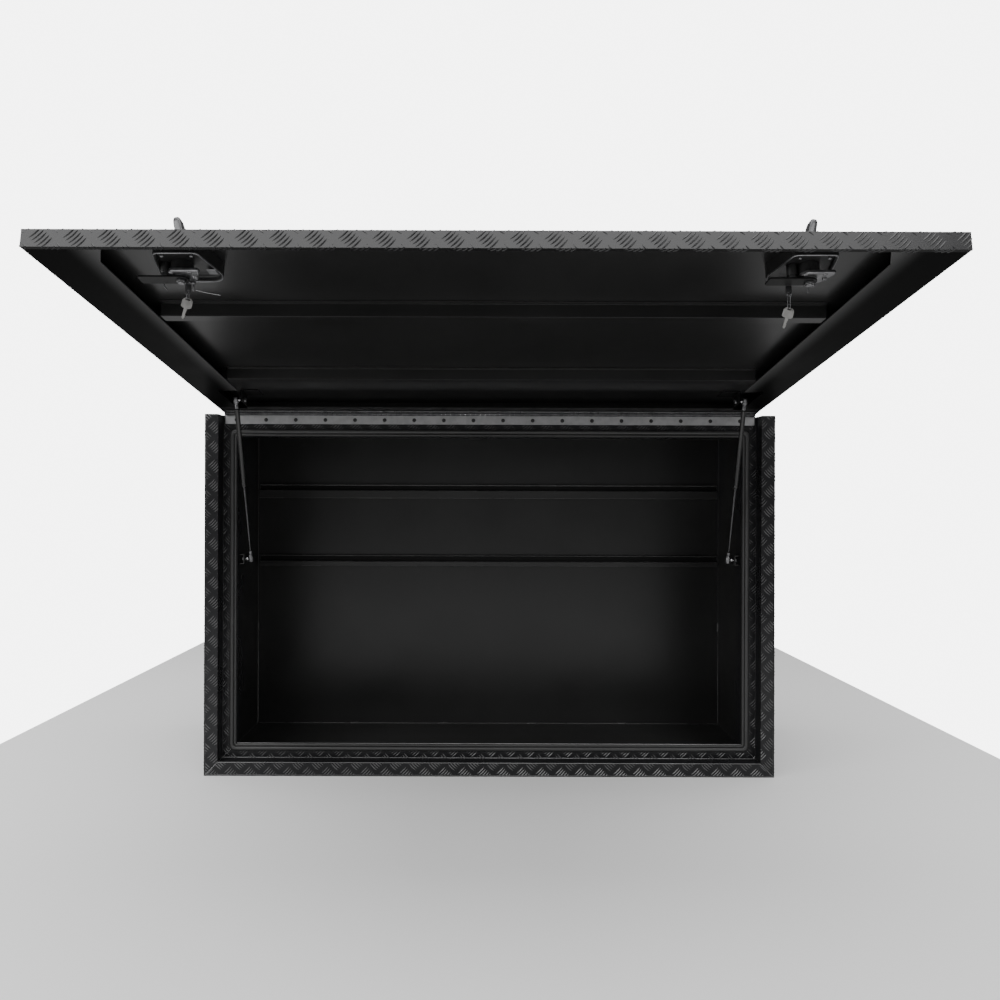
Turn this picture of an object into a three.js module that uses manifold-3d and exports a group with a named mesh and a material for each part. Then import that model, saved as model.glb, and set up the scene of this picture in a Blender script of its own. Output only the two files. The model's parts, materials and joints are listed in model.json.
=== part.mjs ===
// Side-opening truck tool box in black tread plate: a welded box, a top-hinged door held open by
// two gas struts, and two folding-handle latches with lock barrels and keys.
// Millimetres, +Z up. The origin is the centre of the underside and the front faces -Y.
// The door is modelled open, its skin rising a little from the hinge.
import * as THREE from 'three';
import { mergeVertices } from 'three/addons/utils/BufferGeometryUtils.js';
import Module from 'manifold-3d';

const wasm = await Module();
wasm.setup();

// ---- Box ----
const WIDTH = 1450;
const DEPTH = 460;
const HEIGHT = 920;
const SHEET = 2.5;
const GAP = 0.3;               // space left between touching pieces
const HALF_WIDTH = WIDTH / 2;
const FRONT = -DEPTH / 2;
const BACK = DEPTH / 2;
const SIDES = [['L', -1], ['R', 1]];

// ---- Door frame around the opening ----
const FLANGE = 35;             // width of the outer front flange
const LANDING_Y = -193;        // front face of the recessed landing
const OPENING_HALF = 652.5;
const OPENING_BOTTOM = 72.5;
const OPENING_TOP = 866;
const SIDE_RETURN = 43;        // depth of the lip around the opening
const FLANGE_INNER = HALF_WIDTH - FLANGE;
const TOP_SHOULDER = OPENING_TOP + (FLANGE_INNER - OPENING_HALF);
const LANDING_BACK = LANDING_Y + SHEET;
const INNER_HALF = HALF_WIDTH - SHEET - GAP;
const FRAME_LOW = SHEET + GAP;
const FRAME_HIGH = HEIGHT - SHEET - GAP;
const PAST = 1;                // how far a cutting solid runs past what it cuts

// ---- Hinge ----
const PIVOT_Y = -200;
const PIVOT_Z = 925;
const HINGE_HALF = 684;
const BARREL_R = 5.5;
const PIN_R = 2;
const LEAF = 1.6;
const FIXED_LEAF_LOW = 898;
const DOOR_LEAF_END = 26;
const DOOR_LEAF_START = 2;
const KNUCKLES = 36;
const ROUND = 12;              // sides of a small round

// ---- Door, in its own frame: -Y runs from the pivot to the free edge, +Z is outwards ----
const DOOR_RISE = 8.9 * Math.PI / 180;
const DOOR_HALF = 685;
const DOOR_START = 6;
const DOOR_END = 878;
const DOOR_SHEET = 2;
const LIP_LOW = 1.5;           // height of the lip edges above the pivot
const SKIN_TOP = 29;
const SKIN_LOW = SKIN_TOP - DOOR_SHEET;
const FREE_HEM = 8;
const HINGE_HEM_END = 53;
const STRUT_NOTCH = { start: 38, half: 12 };   // cut in the hinge hem, to let the strut's end pass

// ---- Side channels of the door: angles that stiffen its two sides ----
const CHANNEL_INNER = 592;
const CHANNEL_OUTER = DOOR_HALF - DOOR_SHEET - GAP;
const CHANNEL_RISE = 16;       // height of the leg against the lip
const CHANNEL_NOTCH = 636;     // cut back to here, to let the strut pass
const NOTCH_END = 190;
const GUSSET = 20;             // extra width at the free end
const GUSSET_LENGTH = 40;

// ---- Stiffeners across the door: hat sections ----
const STIFFENERS = [
  { name: 'door_stiffener_upper', centre: 263 },
  { name: 'door_stiffener_lower', centre: 614 },
];
const STIFFENER_HALF = CHANNEL_INNER - 4;
const STIFFENER_CROWN = 11.5;
const STIFFENER_FOOT = 15;
const STIFFENER_BRIM = 10;
const STIFFENER_LOW = 2.5;
const STIFFENER_SHEET = 1.5;

// ---- Rails on the back wall: a top lip, a groove and a front face ----
const RAILS = [
  { name: 'upper_back_rail', low: 709, groove: 733, high: 752 },
  { name: 'lower_back_rail', low: 497, groove: 511, high: 531 },
];
const RAIL_LIP = 10;
const RAIL_FACE = 12;
const RAIL_HALF = 716;

// ---- Seal around the opening ----
const SEAL_INSET = 1.5;
const SEAL_WIDTH = 17;
const SEAL_HEIGHT = 7.8;
const SEAL_CORNER = 12;
const SEAL_INNER_CORNER = 4;

// ---- Gas struts ----
const STRUT_X = 624;
const LOWER_BALL = { y: -171, z: 547.5 };
const UPPER_BALL = { u: 98, w: 7 };   // in the door's frame
const TUBE_R = 5.6;
const ROD_R = 2.6;
const TUBE_LENGTH = 206;
const SOCKET_R = 6.6;
const SOCKET_END = 8;
const SOCKET_LENGTH = 22;
const BALL_R = 4.5;
const BALL_FIT = 0.4;
const MOUTH_R = BALL_R - 0.2;
const STUD_R = 3;
const NUT_R = 6.2;
const NUT_LENGTH = 4.5;
const ROD_IN_TUBE = 22;        // how far the rod reaches into the tube when the door is open
const TUBE_CLOSED_END = 12;
const LOWER_WEB = 638;
const LOWER_PLATE_HALF = 13;
const UPPER_WEB = 606;
const UPPER_PLATE_HALF = 22;
const UPPER_PLATE_REACH = 42;
const UPPER_WEB_DROP = 9;      // how far the web hangs below the ball's centre

// ---- Latches, around a hub at (LATCH_X, LATCH_U) ----
const LATCH_X = 479;
const LATCH_U = 806;
const PAN_SHIFT = 6;           // the pan's middle lies this far inboard of the hub
const PAN_NARROW = 33;         // half width at the end towards the free edge
const PAN_WIDE = 47;           // half width near the end towards the hinge
const PAN_FREE = 46;           // reach from the hub towards the free edge
const PAN_SHOULDER = 20;       // where the pan is widest, beyond the hub
const PAN_BACK = 48;           // reach from the hub towards the hinge
const PAN_CORNER = 10;
const PAN_BOTTOM_HALF = 20;    // half length of the straight stretch towards the hinge
const PAN_LOW = 5;             // lower rim of the pan's skirt
const PAN_FLOOR = 12;
const PAN_SHEET = 1.5;
const PAN_BRIM = 6;
const PAN_BRIM_SHEET = 1.2;
const HUB_R = 13;
const SPINDLE_R = 5;
const SPINDLE_LOW = -21;
const FOLD_W = 39;             // height of the handle's fold pin
const FOLD_PIN_R = 2;
const HANDLE_LENGTH = 48;
const HANDLE_HALF = 12;
const HANDLE_R = 7.4;
const HANDLE_TIP_R = 6;
const HANDLE_FORK = 11;        // depth of the fork over the hub's tongue
const HANDLE_LIFT = 75 * Math.PI / 180;
const TONGUE_HALF = 4;
const TONGUE_WIDE = 6;
const CAM_LENGTH = 64;
const CAM_HALF = 12;
const CAM_TOP = -12.5;
const CAM_THICK = 3;
const CAM_CHAMFER = 4;
const CAM_NUT_R = 7.5;
const CAM_NUT_HEIGHT = 3.5;
const HOUSING_LEFT = 15;
const HOUSING_RIGHT = 31;
const HOUSING_HALF = 24;
const HOUSING_LOW = -12;
const HOUSING_CHAMFER = 7;
const HOUSING_NECK = 17;
const HOUSING_BOSS_R = 11;
const HOUSING_BOSS_LOW = CAM_TOP + GAP;
const BARREL_OFFSET = -25;     // lock barrel, left of the hub on both latches
const LOCK_R = 6;
const LOCK_LOW = -12;
const KEYWAY = { half: 0.9, reach: 3.5, depth: 8 };

// ---- Key holders: a tab under each housing, with a wire loop and a key ----
const TAB_BACK = 20;           // distance from the hub towards the hinge
const TAB_W = -25;             // height of the eye
const TAB_HALF = 4.5;
const TAB_SHEET = 1.6;
const EYE_R = 3;
const TAB_OFFSET = { L: 3, R: -23 };
const LOOP_LENGTH = { L: 13, R: 25 };
const LOOP_HALF = 5.5;
const LOOP_WIRE = 1.2;
const KEY_TILT = 15 * Math.PI / 180;
const KEY_HEAD_HALF = 8.5;
const KEY_HEAD = 16;
const KEY_LENGTH = 33;
const KEY_THICK = 2.2;
const KEY_SLOT = 2.6;          // half width of the slot, and its distance from the head's edge
const KEY_HEAD_CHAMFER = 4;
const KEY_BLADE_HALF = 2.7;

// ---- Materials ----
function finish(color, roughness, metalness) {
  return new THREE.MeshStandardMaterial({ color, roughness, metalness });
}

const BLACK_COAT = finish(0x101112, 0.42, 0.1);
const RUBBER = finish(0x141414, 0.8, 0);
const ZINC = finish(0x8d8f90, 0.4, 1);
const BLACK_STEEL = finish(0x0c0c0d, 0.5, 0.3);
const TUBE_BLACK = finish(0x0a0a0b, 0.3, 0.2);
const BRIGHT_STEEL = finish(0xb0b2b4, 0.18, 1);
const HANDLE_CHROME = finish(0xa8aaab, 0.25, 1);

// ---- Solid helpers ----
function solid(geometry) {
  const bare = geometry.index ? geometry.toNonIndexed() : geometry.clone();
  bare.deleteAttribute('normal');
  bare.deleteAttribute('uv');
  const merged = mergeVertices(bare, 1e-4);
  return new wasm.Manifold(new wasm.Mesh({
    numProp: 3,
    vertProperties: new Float32Array(merged.attributes.position.array),
    triVerts: new Uint32Array(merged.index.array),
  }));
}

function shapeOf(body) {
  const mesh = body.getMesh();
  const geometry = new THREE.BufferGeometry();
  geometry.setAttribute('position', new THREE.BufferAttribute(new Float32Array(mesh.vertProperties), 3));
  geometry.setIndex(new THREE.BufferAttribute(new Uint32Array(mesh.triVerts), 1));
  geometry.computeVertexNormals();
  return geometry;
}

function block(x0, x1, y0, y1, z0, z1) {
  const geometry = new THREE.BoxGeometry(x1 - x0, y1 - y0, z1 - z0);
  return solid(geometry.translate((x0 + x1) / 2, (y0 + y1) / 2, (z0 + z1) / 2));
}

// A block whose X range is given for the right-hand side and turned over for the left.
function sidedBlock(side, x0, x1, ...rest) {
  return side > 0 ? block(x0, x1, ...rest) : block(-x1, -x0, ...rest);
}

function extrude(points, depth) {
  const isShape = points instanceof THREE.Shape;
  const shape = isShape ? points : new THREE.Shape(points.map(([a, b]) => new THREE.Vector2(a, b)));
  return new THREE.ExtrudeGeometry(shape, { depth, bevelEnabled: false, curveSegments: 6 });
}

// Outline of [y, z] points, run along X.
function alongX(points, x0, x1) {
  const turn = new THREE.Matrix4().makeBasis(
    new THREE.Vector3(0, 1, 0), new THREE.Vector3(0, 0, 1), new THREE.Vector3(1, 0, 0));
  return solid(extrude(points, x1 - x0).applyMatrix4(turn).translate(x0, 0, 0));
}

// Outline of [x, z] points, run along Y.
function alongY(points, y0, y1) {
  return solid(extrude(points, y1 - y0).rotateX(Math.PI / 2).translate(0, y1, 0));
}

// Outline of [x, y] points, run along Z.
function alongZ(points, z0, z1) {
  return solid(extrude(points, z1 - z0).translate(0, 0, z0));
}

function rod(radius, from, to, sides = ROUND) {
  const start = new THREE.Vector3(...from);
  const end = new THREE.Vector3(...to);
  const direction = end.clone().sub(start);
  const geometry = new THREE.CylinderGeometry(radius, radius, direction.length(), sides);
  const up = new THREE.Vector3(0, 1, 0);
  geometry.applyQuaternion(new THREE.Quaternion().setFromUnitVectors(up, direction.clone().normalize()));
  const middle = start.add(end).multiplyScalar(0.5);
  return solid(geometry.translate(middle.x, middle.y, middle.z));
}

function ball(radius, centre) {
  return solid(new THREE.SphereGeometry(radius, ROUND, 8).translate(...centre));
}

// Mirror image across x = 0, with its faces turned to point out again.
function mirrored(body) {
  const geometry = shapeOf(body);
  const index = geometry.index.array;
  for (let i = 0; i < index.length; i += 3) {
    [index[i], index[i + 1]] = [index[i + 1], index[i]];
  }
  return solid(geometry.applyMatrix4(new THREE.Matrix4().makeScale(-1, 1, 1)));
}

// A body modelled for the right-hand side, as it is or mirrored for the left.
function onSide(body, side) {
  return side > 0 ? body : mirrored(body);
}

function roundedRectangle(half, low, high, radius) {
  const shape = new THREE.Shape();
  shape.moveTo(-half + radius, low);
  shape.lineTo(half - radius, low);
  shape.absarc(half - radius, low + radius, radius, -Math.PI / 2, 0);
  shape.lineTo(half, high - radius);
  shape.absarc(half - radius, high - radius, radius, 0, Math.PI / 2);
  shape.lineTo(-half + radius, high);
  shape.absarc(-half + radius, high - radius, radius, Math.PI / 2, Math.PI);
  shape.lineTo(-half, low + radius);
  shape.absarc(-half + radius, low + radius, radius, Math.PI, Math.PI * 1.5);
  return shape;
}

function piece(name, body, material) {
  const mesh = new THREE.Mesh(shapeOf(body), material);
  mesh.name = name;
  return mesh;
}

// ---- Box panels ----
function floorPanel() {
  return block(-HALF_WIDTH, HALF_WIDTH, FRONT, BACK, 0, SHEET);
}

function backPanel() {
  return block(-INNER_HALF, INNER_HALF, BACK - SHEET, BACK, FRAME_LOW, FRAME_HIGH);
}

function sidePanel(side) {
  return sidedBlock(side, HALF_WIDTH - SHEET, HALF_WIDTH, FRONT, BACK, FRAME_LOW, HEIGHT);
}

// The top is set back to the landing between the two side flanges.
function topPanel() {
  const outline = [
    [-INNER_HALF, FRONT], [-FLANGE_INNER, FRONT], [-FLANGE_INNER, LANDING_Y], [FLANGE_INNER, LANDING_Y],
    [FLANGE_INNER, FRONT], [INNER_HALF, FRONT], [INNER_HALF, BACK], [-INNER_HALF, BACK],
  ];
  return alongZ(outline, HEIGHT - SHEET, HEIGHT);
}

// ---- Door frame: sheets folded into a flange, a step and a landing, mitred at the corners ----
// Section of the right-hand member as [x, y], with a lip around the opening.
function sideMember() {
  const section = [
    [INNER_HALF, FRONT], [INNER_HALF, FRONT + SHEET], [FLANGE_INNER + SHEET, FRONT + SHEET],
    [FLANGE_INNER + SHEET, LANDING_BACK], [OPENING_HALF + SHEET, LANDING_BACK],
    [OPENING_HALF + SHEET, LANDING_Y + SIDE_RETURN], [OPENING_HALF, LANDING_Y + SIDE_RETURN],
    [OPENING_HALF, LANDING_Y], [FLANGE_INNER, LANDING_Y], [FLANGE_INNER, FRONT],
  ];
  const mitre = alongY([
    [INNER_HALF + PAST, FRAME_LOW + GAP], [INNER_HALF + PAST, FRAME_HIGH + PAST],
    [FLANGE_INNER, FRAME_HIGH + PAST], [FLANGE_INNER, TOP_SHOULDER - GAP],
    [OPENING_HALF - PAST, OPENING_TOP - GAP - PAST], [OPENING_HALF - PAST, OPENING_BOTTOM + GAP + PAST],
    [FLANGE_INNER, FLANGE + GAP],
  ], FRONT - PAST, 0);
  return alongZ(section, FRAME_LOW, FRAME_HIGH).intersect(mitre);
}

// The bottom member has no lip, so that the latch cams catch behind its landing.
function bottomMember() {
  const section = [
    [FRONT, FRAME_LOW], [FRONT + SHEET, FRAME_LOW], [FRONT + SHEET, FLANGE - SHEET],
    [LANDING_BACK, FLANGE - SHEET], [LANDING_BACK, OPENING_BOTTOM], [LANDING_Y, OPENING_BOTTOM],
    [LANDING_Y, FLANGE], [FRONT, FLANGE],
  ];
  const edge = GAP / 2;
  const mitre = alongY([
    [-INNER_HALF, FRAME_LOW - PAST], [INNER_HALF, FRAME_LOW - PAST], [INNER_HALF, FRAME_LOW - edge],
    [FLANGE_INNER, FLANGE - edge], [OPENING_HALF - PAST, OPENING_BOTTOM + PAST - edge],
    [-OPENING_HALF + PAST, OPENING_BOTTOM + PAST - edge], [-FLANGE_INNER, FLANGE - edge],
    [-INNER_HALF, FRAME_LOW - edge],
  ], FRONT - PAST, 0);
  return alongX(section, -INNER_HALF, INNER_HALF).intersect(mitre);
}

// The top member has a landing and a lip but no outer flange.
function topMember() {
  const section = [
    [LANDING_Y, OPENING_TOP], [LANDING_Y + SIDE_RETURN, OPENING_TOP],
    [LANDING_Y + SIDE_RETURN, OPENING_TOP + SHEET], [LANDING_BACK, OPENING_TOP + SHEET],
    [LANDING_BACK, FRAME_HIGH], [LANDING_Y, FRAME_HIGH],
  ];
  const edge = FLANGE_INNER - GAP;
  const mitre = alongY([
    [-OPENING_HALF, OPENING_TOP], [OPENING_HALF, OPENING_TOP], [edge, TOP_SHOULDER],
    [edge, FRAME_HIGH + PAST], [-edge, FRAME_HIGH + PAST], [-edge, TOP_SHOULDER],
  ], FRONT - PAST, 0);
  return alongX(section, -FLANGE_INNER, FLANGE_INNER).intersect(mitre);
}

// ---- Rails and seal ----
function backRail({ low, groove, high }) {
  const wall = BACK - SHEET - GAP;
  return alongX([
    [wall, high], [wall - RAIL_LIP, high], [wall - RAIL_LIP, high - SHEET], [wall - SHEET, high - SHEET],
    [wall - SHEET, groove], [wall - RAIL_FACE, groove], [wall - RAIL_FACE, low],
    [wall - RAIL_FACE + SHEET, low], [wall - RAIL_FACE + SHEET, groove - SHEET], [wall, groove - SHEET],
  ], -RAIL_HALF, RAIL_HALF);
}

function doorSeal() {
  const back = LANDING_Y - GAP;
  const front = back - SEAL_HEIGHT;
  const grow = SEAL_INSET + SEAL_WIDTH;
  const outline = roundedRectangle(
    OPENING_HALF + grow, OPENING_BOTTOM - grow, OPENING_TOP + grow, SEAL_CORNER);
  const hole = roundedRectangle(
    OPENING_HALF + SEAL_INSET, OPENING_BOTTOM - SEAL_INSET, OPENING_TOP + SEAL_INSET, SEAL_INNER_CORNER);
  return alongY(outline, front, back).subtract(alongY(hole, front - PAST, back + PAST));
}

// ---- Hinge: leaves around an axis at the origin ----
// A leaf's plate plus every second knuckle; first is 0 for the fixed leaf and 1 for the door leaf.
function hingeLeaf(plate, first) {
  const pitch = 2 * HINGE_HALF / KNUCKLES;
  let leaf = plate;
  for (let i = 0; i < KNUCKLES; i += 1) {
    const x = -HINGE_HALF + i * pitch;
    if (i % 2 === first) {
      leaf = leaf.add(rod(BARREL_R, [x + GAP / 2, 0, 0], [x + pitch - GAP / 2, 0, 0]));
    } else {
      leaf = leaf.subtract(rod(BARREL_R + GAP, [x - GAP / 2, 0, 0], [x + pitch + GAP / 2, 0, 0]));
    }
  }
  return leaf.subtract(rod(PIN_R + GAP, [-HINGE_HALF - PAST, 0, 0], [HINGE_HALF + PAST, 0, 0]));
}

function fixedLeaf() {
  const back = LANDING_Y - GAP - PIVOT_Y;
  const plate = block(-HINGE_HALF, HINGE_HALF, back - LEAF, back, FIXED_LEAF_LOW - PIVOT_Z, 0);
  return hingeLeaf(plate, 0);
}

function doorLeaf() {
  const high = LIP_LOW - GAP;
  const plate = block(-HINGE_HALF, HINGE_HALF, -DOOR_LEAF_END, -DOOR_LEAF_START, high - LEAF, high);
  return hingeLeaf(plate, 1);
}

function hinge() {
  const pin = rod(PIN_R, [-HINGE_HALF, 0, 0], [HINGE_HALF, 0, 0]);
  const group = new THREE.Group();
  group.position.set(0, PIVOT_Y, PIVOT_Z);
  group.add(piece('hinge_fixed_leaf', fixedLeaf(), ZINC), piece('hinge_pin', pin, BRIGHT_STEEL));
  return group;
}

// ---- Gas struts ----
// Distance between the balls, and the strut's lean towards the front, with the door open.
function openStrut() {
  const y = PIVOT_Y - UPPER_BALL.u * Math.cos(DOOR_RISE) + UPPER_BALL.w * Math.sin(DOOR_RISE);
  const z = PIVOT_Z + UPPER_BALL.u * Math.sin(DOOR_RISE) + UPPER_BALL.w * Math.cos(DOOR_RISE);
  const forward = LOWER_BALL.y - y;
  const rise = z - LOWER_BALL.z;
  return { length: Math.hypot(forward, rise), lean: Math.atan2(forward, rise) };
}

// Round collar over a ball, open towards the stud; direction points along the strut.
function socket(centre, direction, studSide) {
  const end = centre - direction * SOCKET_END;
  const neck = centre + direction * SOCKET_LENGTH;
  const collar = rod(SOCKET_R, [0, 0, end], [0, 0, neck]);
  const pocket = ball(BALL_R + BALL_FIT, [0, 0, centre]);
  const mouth = rod(MOUTH_R, [0, 0, centre], [studSide * (SOCKET_R + PAST), 0, centre]);
  return collar.subtract(pocket).subtract(mouth);
}

// A ball and its shank, which reaches towards studSide.
function ballStud(centre, studSide, reach) {
  const shank = rod(STUD_R, [0, 0, centre], [studSide * reach, 0, centre]);
  return ball(BALL_R, [0, 0, centre]).add(shank);
}

// A nut on a stud that runs along X, from x0 outwards on the right-hand side.
function nut(x0, y, z, side) {
  const x1 = x0 + NUT_LENGTH;
  const hole = rod(STUD_R + GAP, [x0 - PAST, y, z], [x1 + PAST, y, z]);
  return onSide(rod(NUT_R, [x0, y, z], [x1, y, z], 6).subtract(hole), side);
}

// A U-shaped plate whose web carries the lower ball stud.
function lowerBracket(side) {
  const wall = OPENING_HALF - SHEET - GAP;
  const { y, z } = LOWER_BALL;
  const low = z - LOWER_PLATE_HALF;
  const high = z + LOWER_PLATE_HALF;
  const channel = alongY([
    [LOWER_WEB, low], [wall, low], [wall, low + SHEET], [LOWER_WEB + SHEET, low + SHEET],
    [LOWER_WEB + SHEET, high - SHEET], [wall, high - SHEET], [wall, high], [LOWER_WEB, high],
  ], y - LOWER_PLATE_HALF, y + LOWER_PLATE_HALF);
  const hole = rod(STUD_R + GAP, [LOWER_WEB - PAST, y, z], [LOWER_WEB + SHEET + PAST, y, z]);
  return onSide(channel.subtract(hole), side);
}

// An angle plate under the door skin, with its web on the inner side of the strut.
function upperBracket(side) {
  const top = SKIN_LOW - GAP;
  const { u, w } = UPPER_BALL;
  const inner = UPPER_WEB - UPPER_PLATE_REACH;
  const low = w - UPPER_WEB_DROP;
  const angle = alongY([
    [inner, top - SHEET], [UPPER_WEB - SHEET, top - SHEET], [UPPER_WEB - SHEET, low],
    [UPPER_WEB, low], [UPPER_WEB, top], [inner, top],
  ], -u - UPPER_PLATE_HALF, -u + UPPER_PLATE_HALF);
  const hole = rod(STUD_R + GAP, [UPPER_WEB - SHEET - PAST, -u, w], [UPPER_WEB + PAST, -u, w]);
  return onSide(angle.subtract(hole), side);
}

// Rod end at the box, tube end at the door. Local +Z runs from the lower ball to the upper one.
function strut(tag, side) {
  const { length, lean } = openStrut();
  const tubeTop = length - SOCKET_LENGTH - GAP;
  const tubeLow = tubeTop - TUBE_LENGTH;
  const bore = rod(ROD_R + GAP, [0, 0, tubeLow - PAST], [0, 0, tubeTop - TUBE_CLOSED_END]);
  const tube = rod(TUBE_R, [0, 0, tubeLow], [0, 0, tubeTop]).subtract(bore);
  const pistonRod = rod(ROD_R, [0, 0, SOCKET_LENGTH + GAP], [0, 0, tubeLow + ROD_IN_TUBE]);
  const lowerReach = LOWER_WEB + SHEET + NUT_LENGTH + PAST + GAP - STRUT_X;
  const upperReach = STRUT_X - UPPER_WEB - GAP;
  const group = new THREE.Group();
  group.position.set(side * STRUT_X, LOWER_BALL.y, LOWER_BALL.z);
  group.rotation.x = lean;
  group.add(
    piece(`strut_lower_socket_${tag}`, socket(0, 1, side), ZINC),
    piece(`strut_lower_stud_${tag}`, ballStud(0, side, lowerReach), ZINC),
    piece(`strut_rod_${tag}`, pistonRod, BRIGHT_STEEL),
    piece(`strut_tube_${tag}`, tube, TUBE_BLACK),
    piece(`strut_upper_socket_${tag}`, socket(length, -1, -side), ZINC),
    piece(`strut_upper_stud_${tag}`, ballStud(length, -side, upperReach), ZINC),
  );
  return group;
}

// ---- Latch pan, shared with the cut-out in the door skin ----
// Half outline of the pan, grown outwards, from the free edge's end to the hinge's end.
function panOutline(grow) {
  const narrow = PAN_NARROW + grow;
  const wide = PAN_WIDE + grow;
  const free = -PAN_FREE - grow;
  const back = PAN_BACK + grow;
  const shape = new THREE.Shape();
  shape.moveTo(-narrow + PAN_CORNER, free);
  shape.lineTo(narrow - PAN_CORNER, free);
  shape.quadraticCurveTo(narrow, free, narrow + 1, free + PAN_CORNER);
  shape.lineTo(wide, PAN_SHOULDER);
  shape.quadraticCurveTo(wide, back, PAN_BOTTOM_HALF, back);
  shape.lineTo(-PAN_BOTTOM_HALF, back);
  shape.quadraticCurveTo(-wide, back, -wide, PAN_SHOULDER);
  shape.lineTo(-narrow - 1, free + PAN_CORNER);
  shape.quadraticCurveTo(-narrow, free, -narrow + PAN_CORNER, free);
  return shape;
}

function panSolid(grow, low, high, side) {
  return alongZ(panOutline(grow), low, high).translate([-side * PAN_SHIFT, 0, 0]);
}

// ---- Door ----
// A tray: the skin, a lip on each edge, and a hem on the free edge and on the hinge edge.
function doorSkin() {
  const parts = [
    block(-DOOR_HALF, DOOR_HALF, -DOOR_END, -DOOR_END + DOOR_SHEET, LIP_LOW, SKIN_TOP),
    block(-DOOR_HALF, DOOR_HALF, -DOOR_END, -DOOR_END + FREE_HEM, LIP_LOW, LIP_LOW + DOOR_SHEET),
    block(-DOOR_HALF, DOOR_HALF, -DOOR_START - DOOR_SHEET, -DOOR_START, LIP_LOW, SKIN_TOP),
    block(-DOOR_HALF, DOOR_HALF, -HINGE_HEM_END, -DOOR_START, LIP_LOW, LIP_LOW + DOOR_SHEET),
    sidedBlock(-1, DOOR_HALF - DOOR_SHEET, DOOR_HALF, -DOOR_END, -DOOR_START, LIP_LOW, SKIN_TOP),
    sidedBlock(1, DOOR_HALF - DOOR_SHEET, DOOR_HALF, -DOOR_END, -DOOR_START, LIP_LOW, SKIN_TOP),
  ];
  const skin = block(-DOOR_HALF, DOOR_HALF, -DOOR_END, -DOOR_START, SKIN_LOW, SKIN_TOP);
  const tray = parts.reduce((whole, part) => whole.add(part), skin);
  const { start, half } = STRUT_NOTCH;
  return SIDES.reduce((whole, [, side]) => {
    const cut = panSolid(PAN_SHEET + GAP, SKIN_LOW - PAST, SKIN_TOP + PAST, side);
    const notch = sidedBlock(
      side, STRUT_X - half, STRUT_X + half, -HINGE_HEM_END - PAST, -start, 0, LIP_LOW + DOOR_SHEET + PAST);
    return whole.subtract(cut.translate([side * LATCH_X, -LATCH_U, 0])).subtract(notch);
  }, tray);
}

// An angle along the side of the door: a wide flange level with the lips and a leg against the lip.
function doorChannel(side) {
  const free = -DOOR_END + FREE_HEM + GAP;
  const hingeEnd = -HINGE_HEM_END - GAP;
  const flange = alongZ([
    [CHANNEL_OUTER, hingeEnd], [CHANNEL_NOTCH, hingeEnd], [CHANNEL_NOTCH, -NOTCH_END],
    [CHANNEL_INNER, -NOTCH_END], [CHANNEL_INNER, free + GUSSET_LENGTH], [CHANNEL_INNER - GUSSET, free],
    [CHANNEL_OUTER, free],
  ], LIP_LOW, LIP_LOW + DOOR_SHEET);
  const legInner = CHANNEL_OUTER - DOOR_SHEET;
  const leg = block(legInner, CHANNEL_OUTER, free, hingeEnd, LIP_LOW, LIP_LOW + CHANNEL_RISE);
  return onSide(flange.add(leg), side);
}

// Hat section with its brims against the skin and its crown level with the lips.
function stiffener(centre) {
  const top = SKIN_LOW - GAP;
  const sheet = STIFFENER_SHEET;
  const brim = STIFFENER_FOOT + STIFFENER_BRIM;
  const rising = [
    [-brim, top], [-brim, top - sheet], [-STIFFENER_FOOT, top - sheet], [-STIFFENER_CROWN, STIFFENER_LOW],
  ];
  const falling = [
    [STIFFENER_CROWN - sheet, STIFFENER_LOW + sheet], [STIFFENER_FOOT - sheet, top],
  ];
  const opposite = (points) => points.map(([a, b]) => [-a, b]).reverse();
  const outline = [...rising, ...opposite(rising), ...opposite(opposite(falling)).reverse()];
  outline.push(...opposite(falling).reverse());
  return alongX(outline.map(([a, b]) => [a - centre, b]), -STIFFENER_HALF, STIFFENER_HALF);
}

// ---- Latches: local origin on the hub's axis at the level of the door's pivot ----
function latchPan(side) {
  const floor = panSolid(PAN_SHEET, PAN_FLOOR, SKIN_TOP + GAP, side);
  const skirt = panSolid(PAN_SHEET, PAN_LOW, PAN_FLOOR, side)
    .subtract(panSolid(0, PAN_LOW - PAST, PAN_FLOOR, side));
  const brim = panSolid(PAN_BRIM, SKIN_TOP + GAP, SKIN_TOP + GAP + PAN_BRIM_SHEET, side);
  const hollow = panSolid(0, PAN_FLOOR + PAN_SHEET, SKIN_TOP + 2 * PAN_BRIM_SHEET, side);
  const spindleHole = rod(SPINDLE_R + GAP, [0, 0, PAN_LOW], [0, 0, SKIN_TOP]);
  const lockHole = rod(LOCK_R + GAP, [BARREL_OFFSET, 0, PAN_LOW], [BARREL_OFFSET, 0, SKIN_TOP]);
  return floor.add(skirt).add(brim).subtract(hollow).subtract(spindleHole).subtract(lockHole);
}

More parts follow.
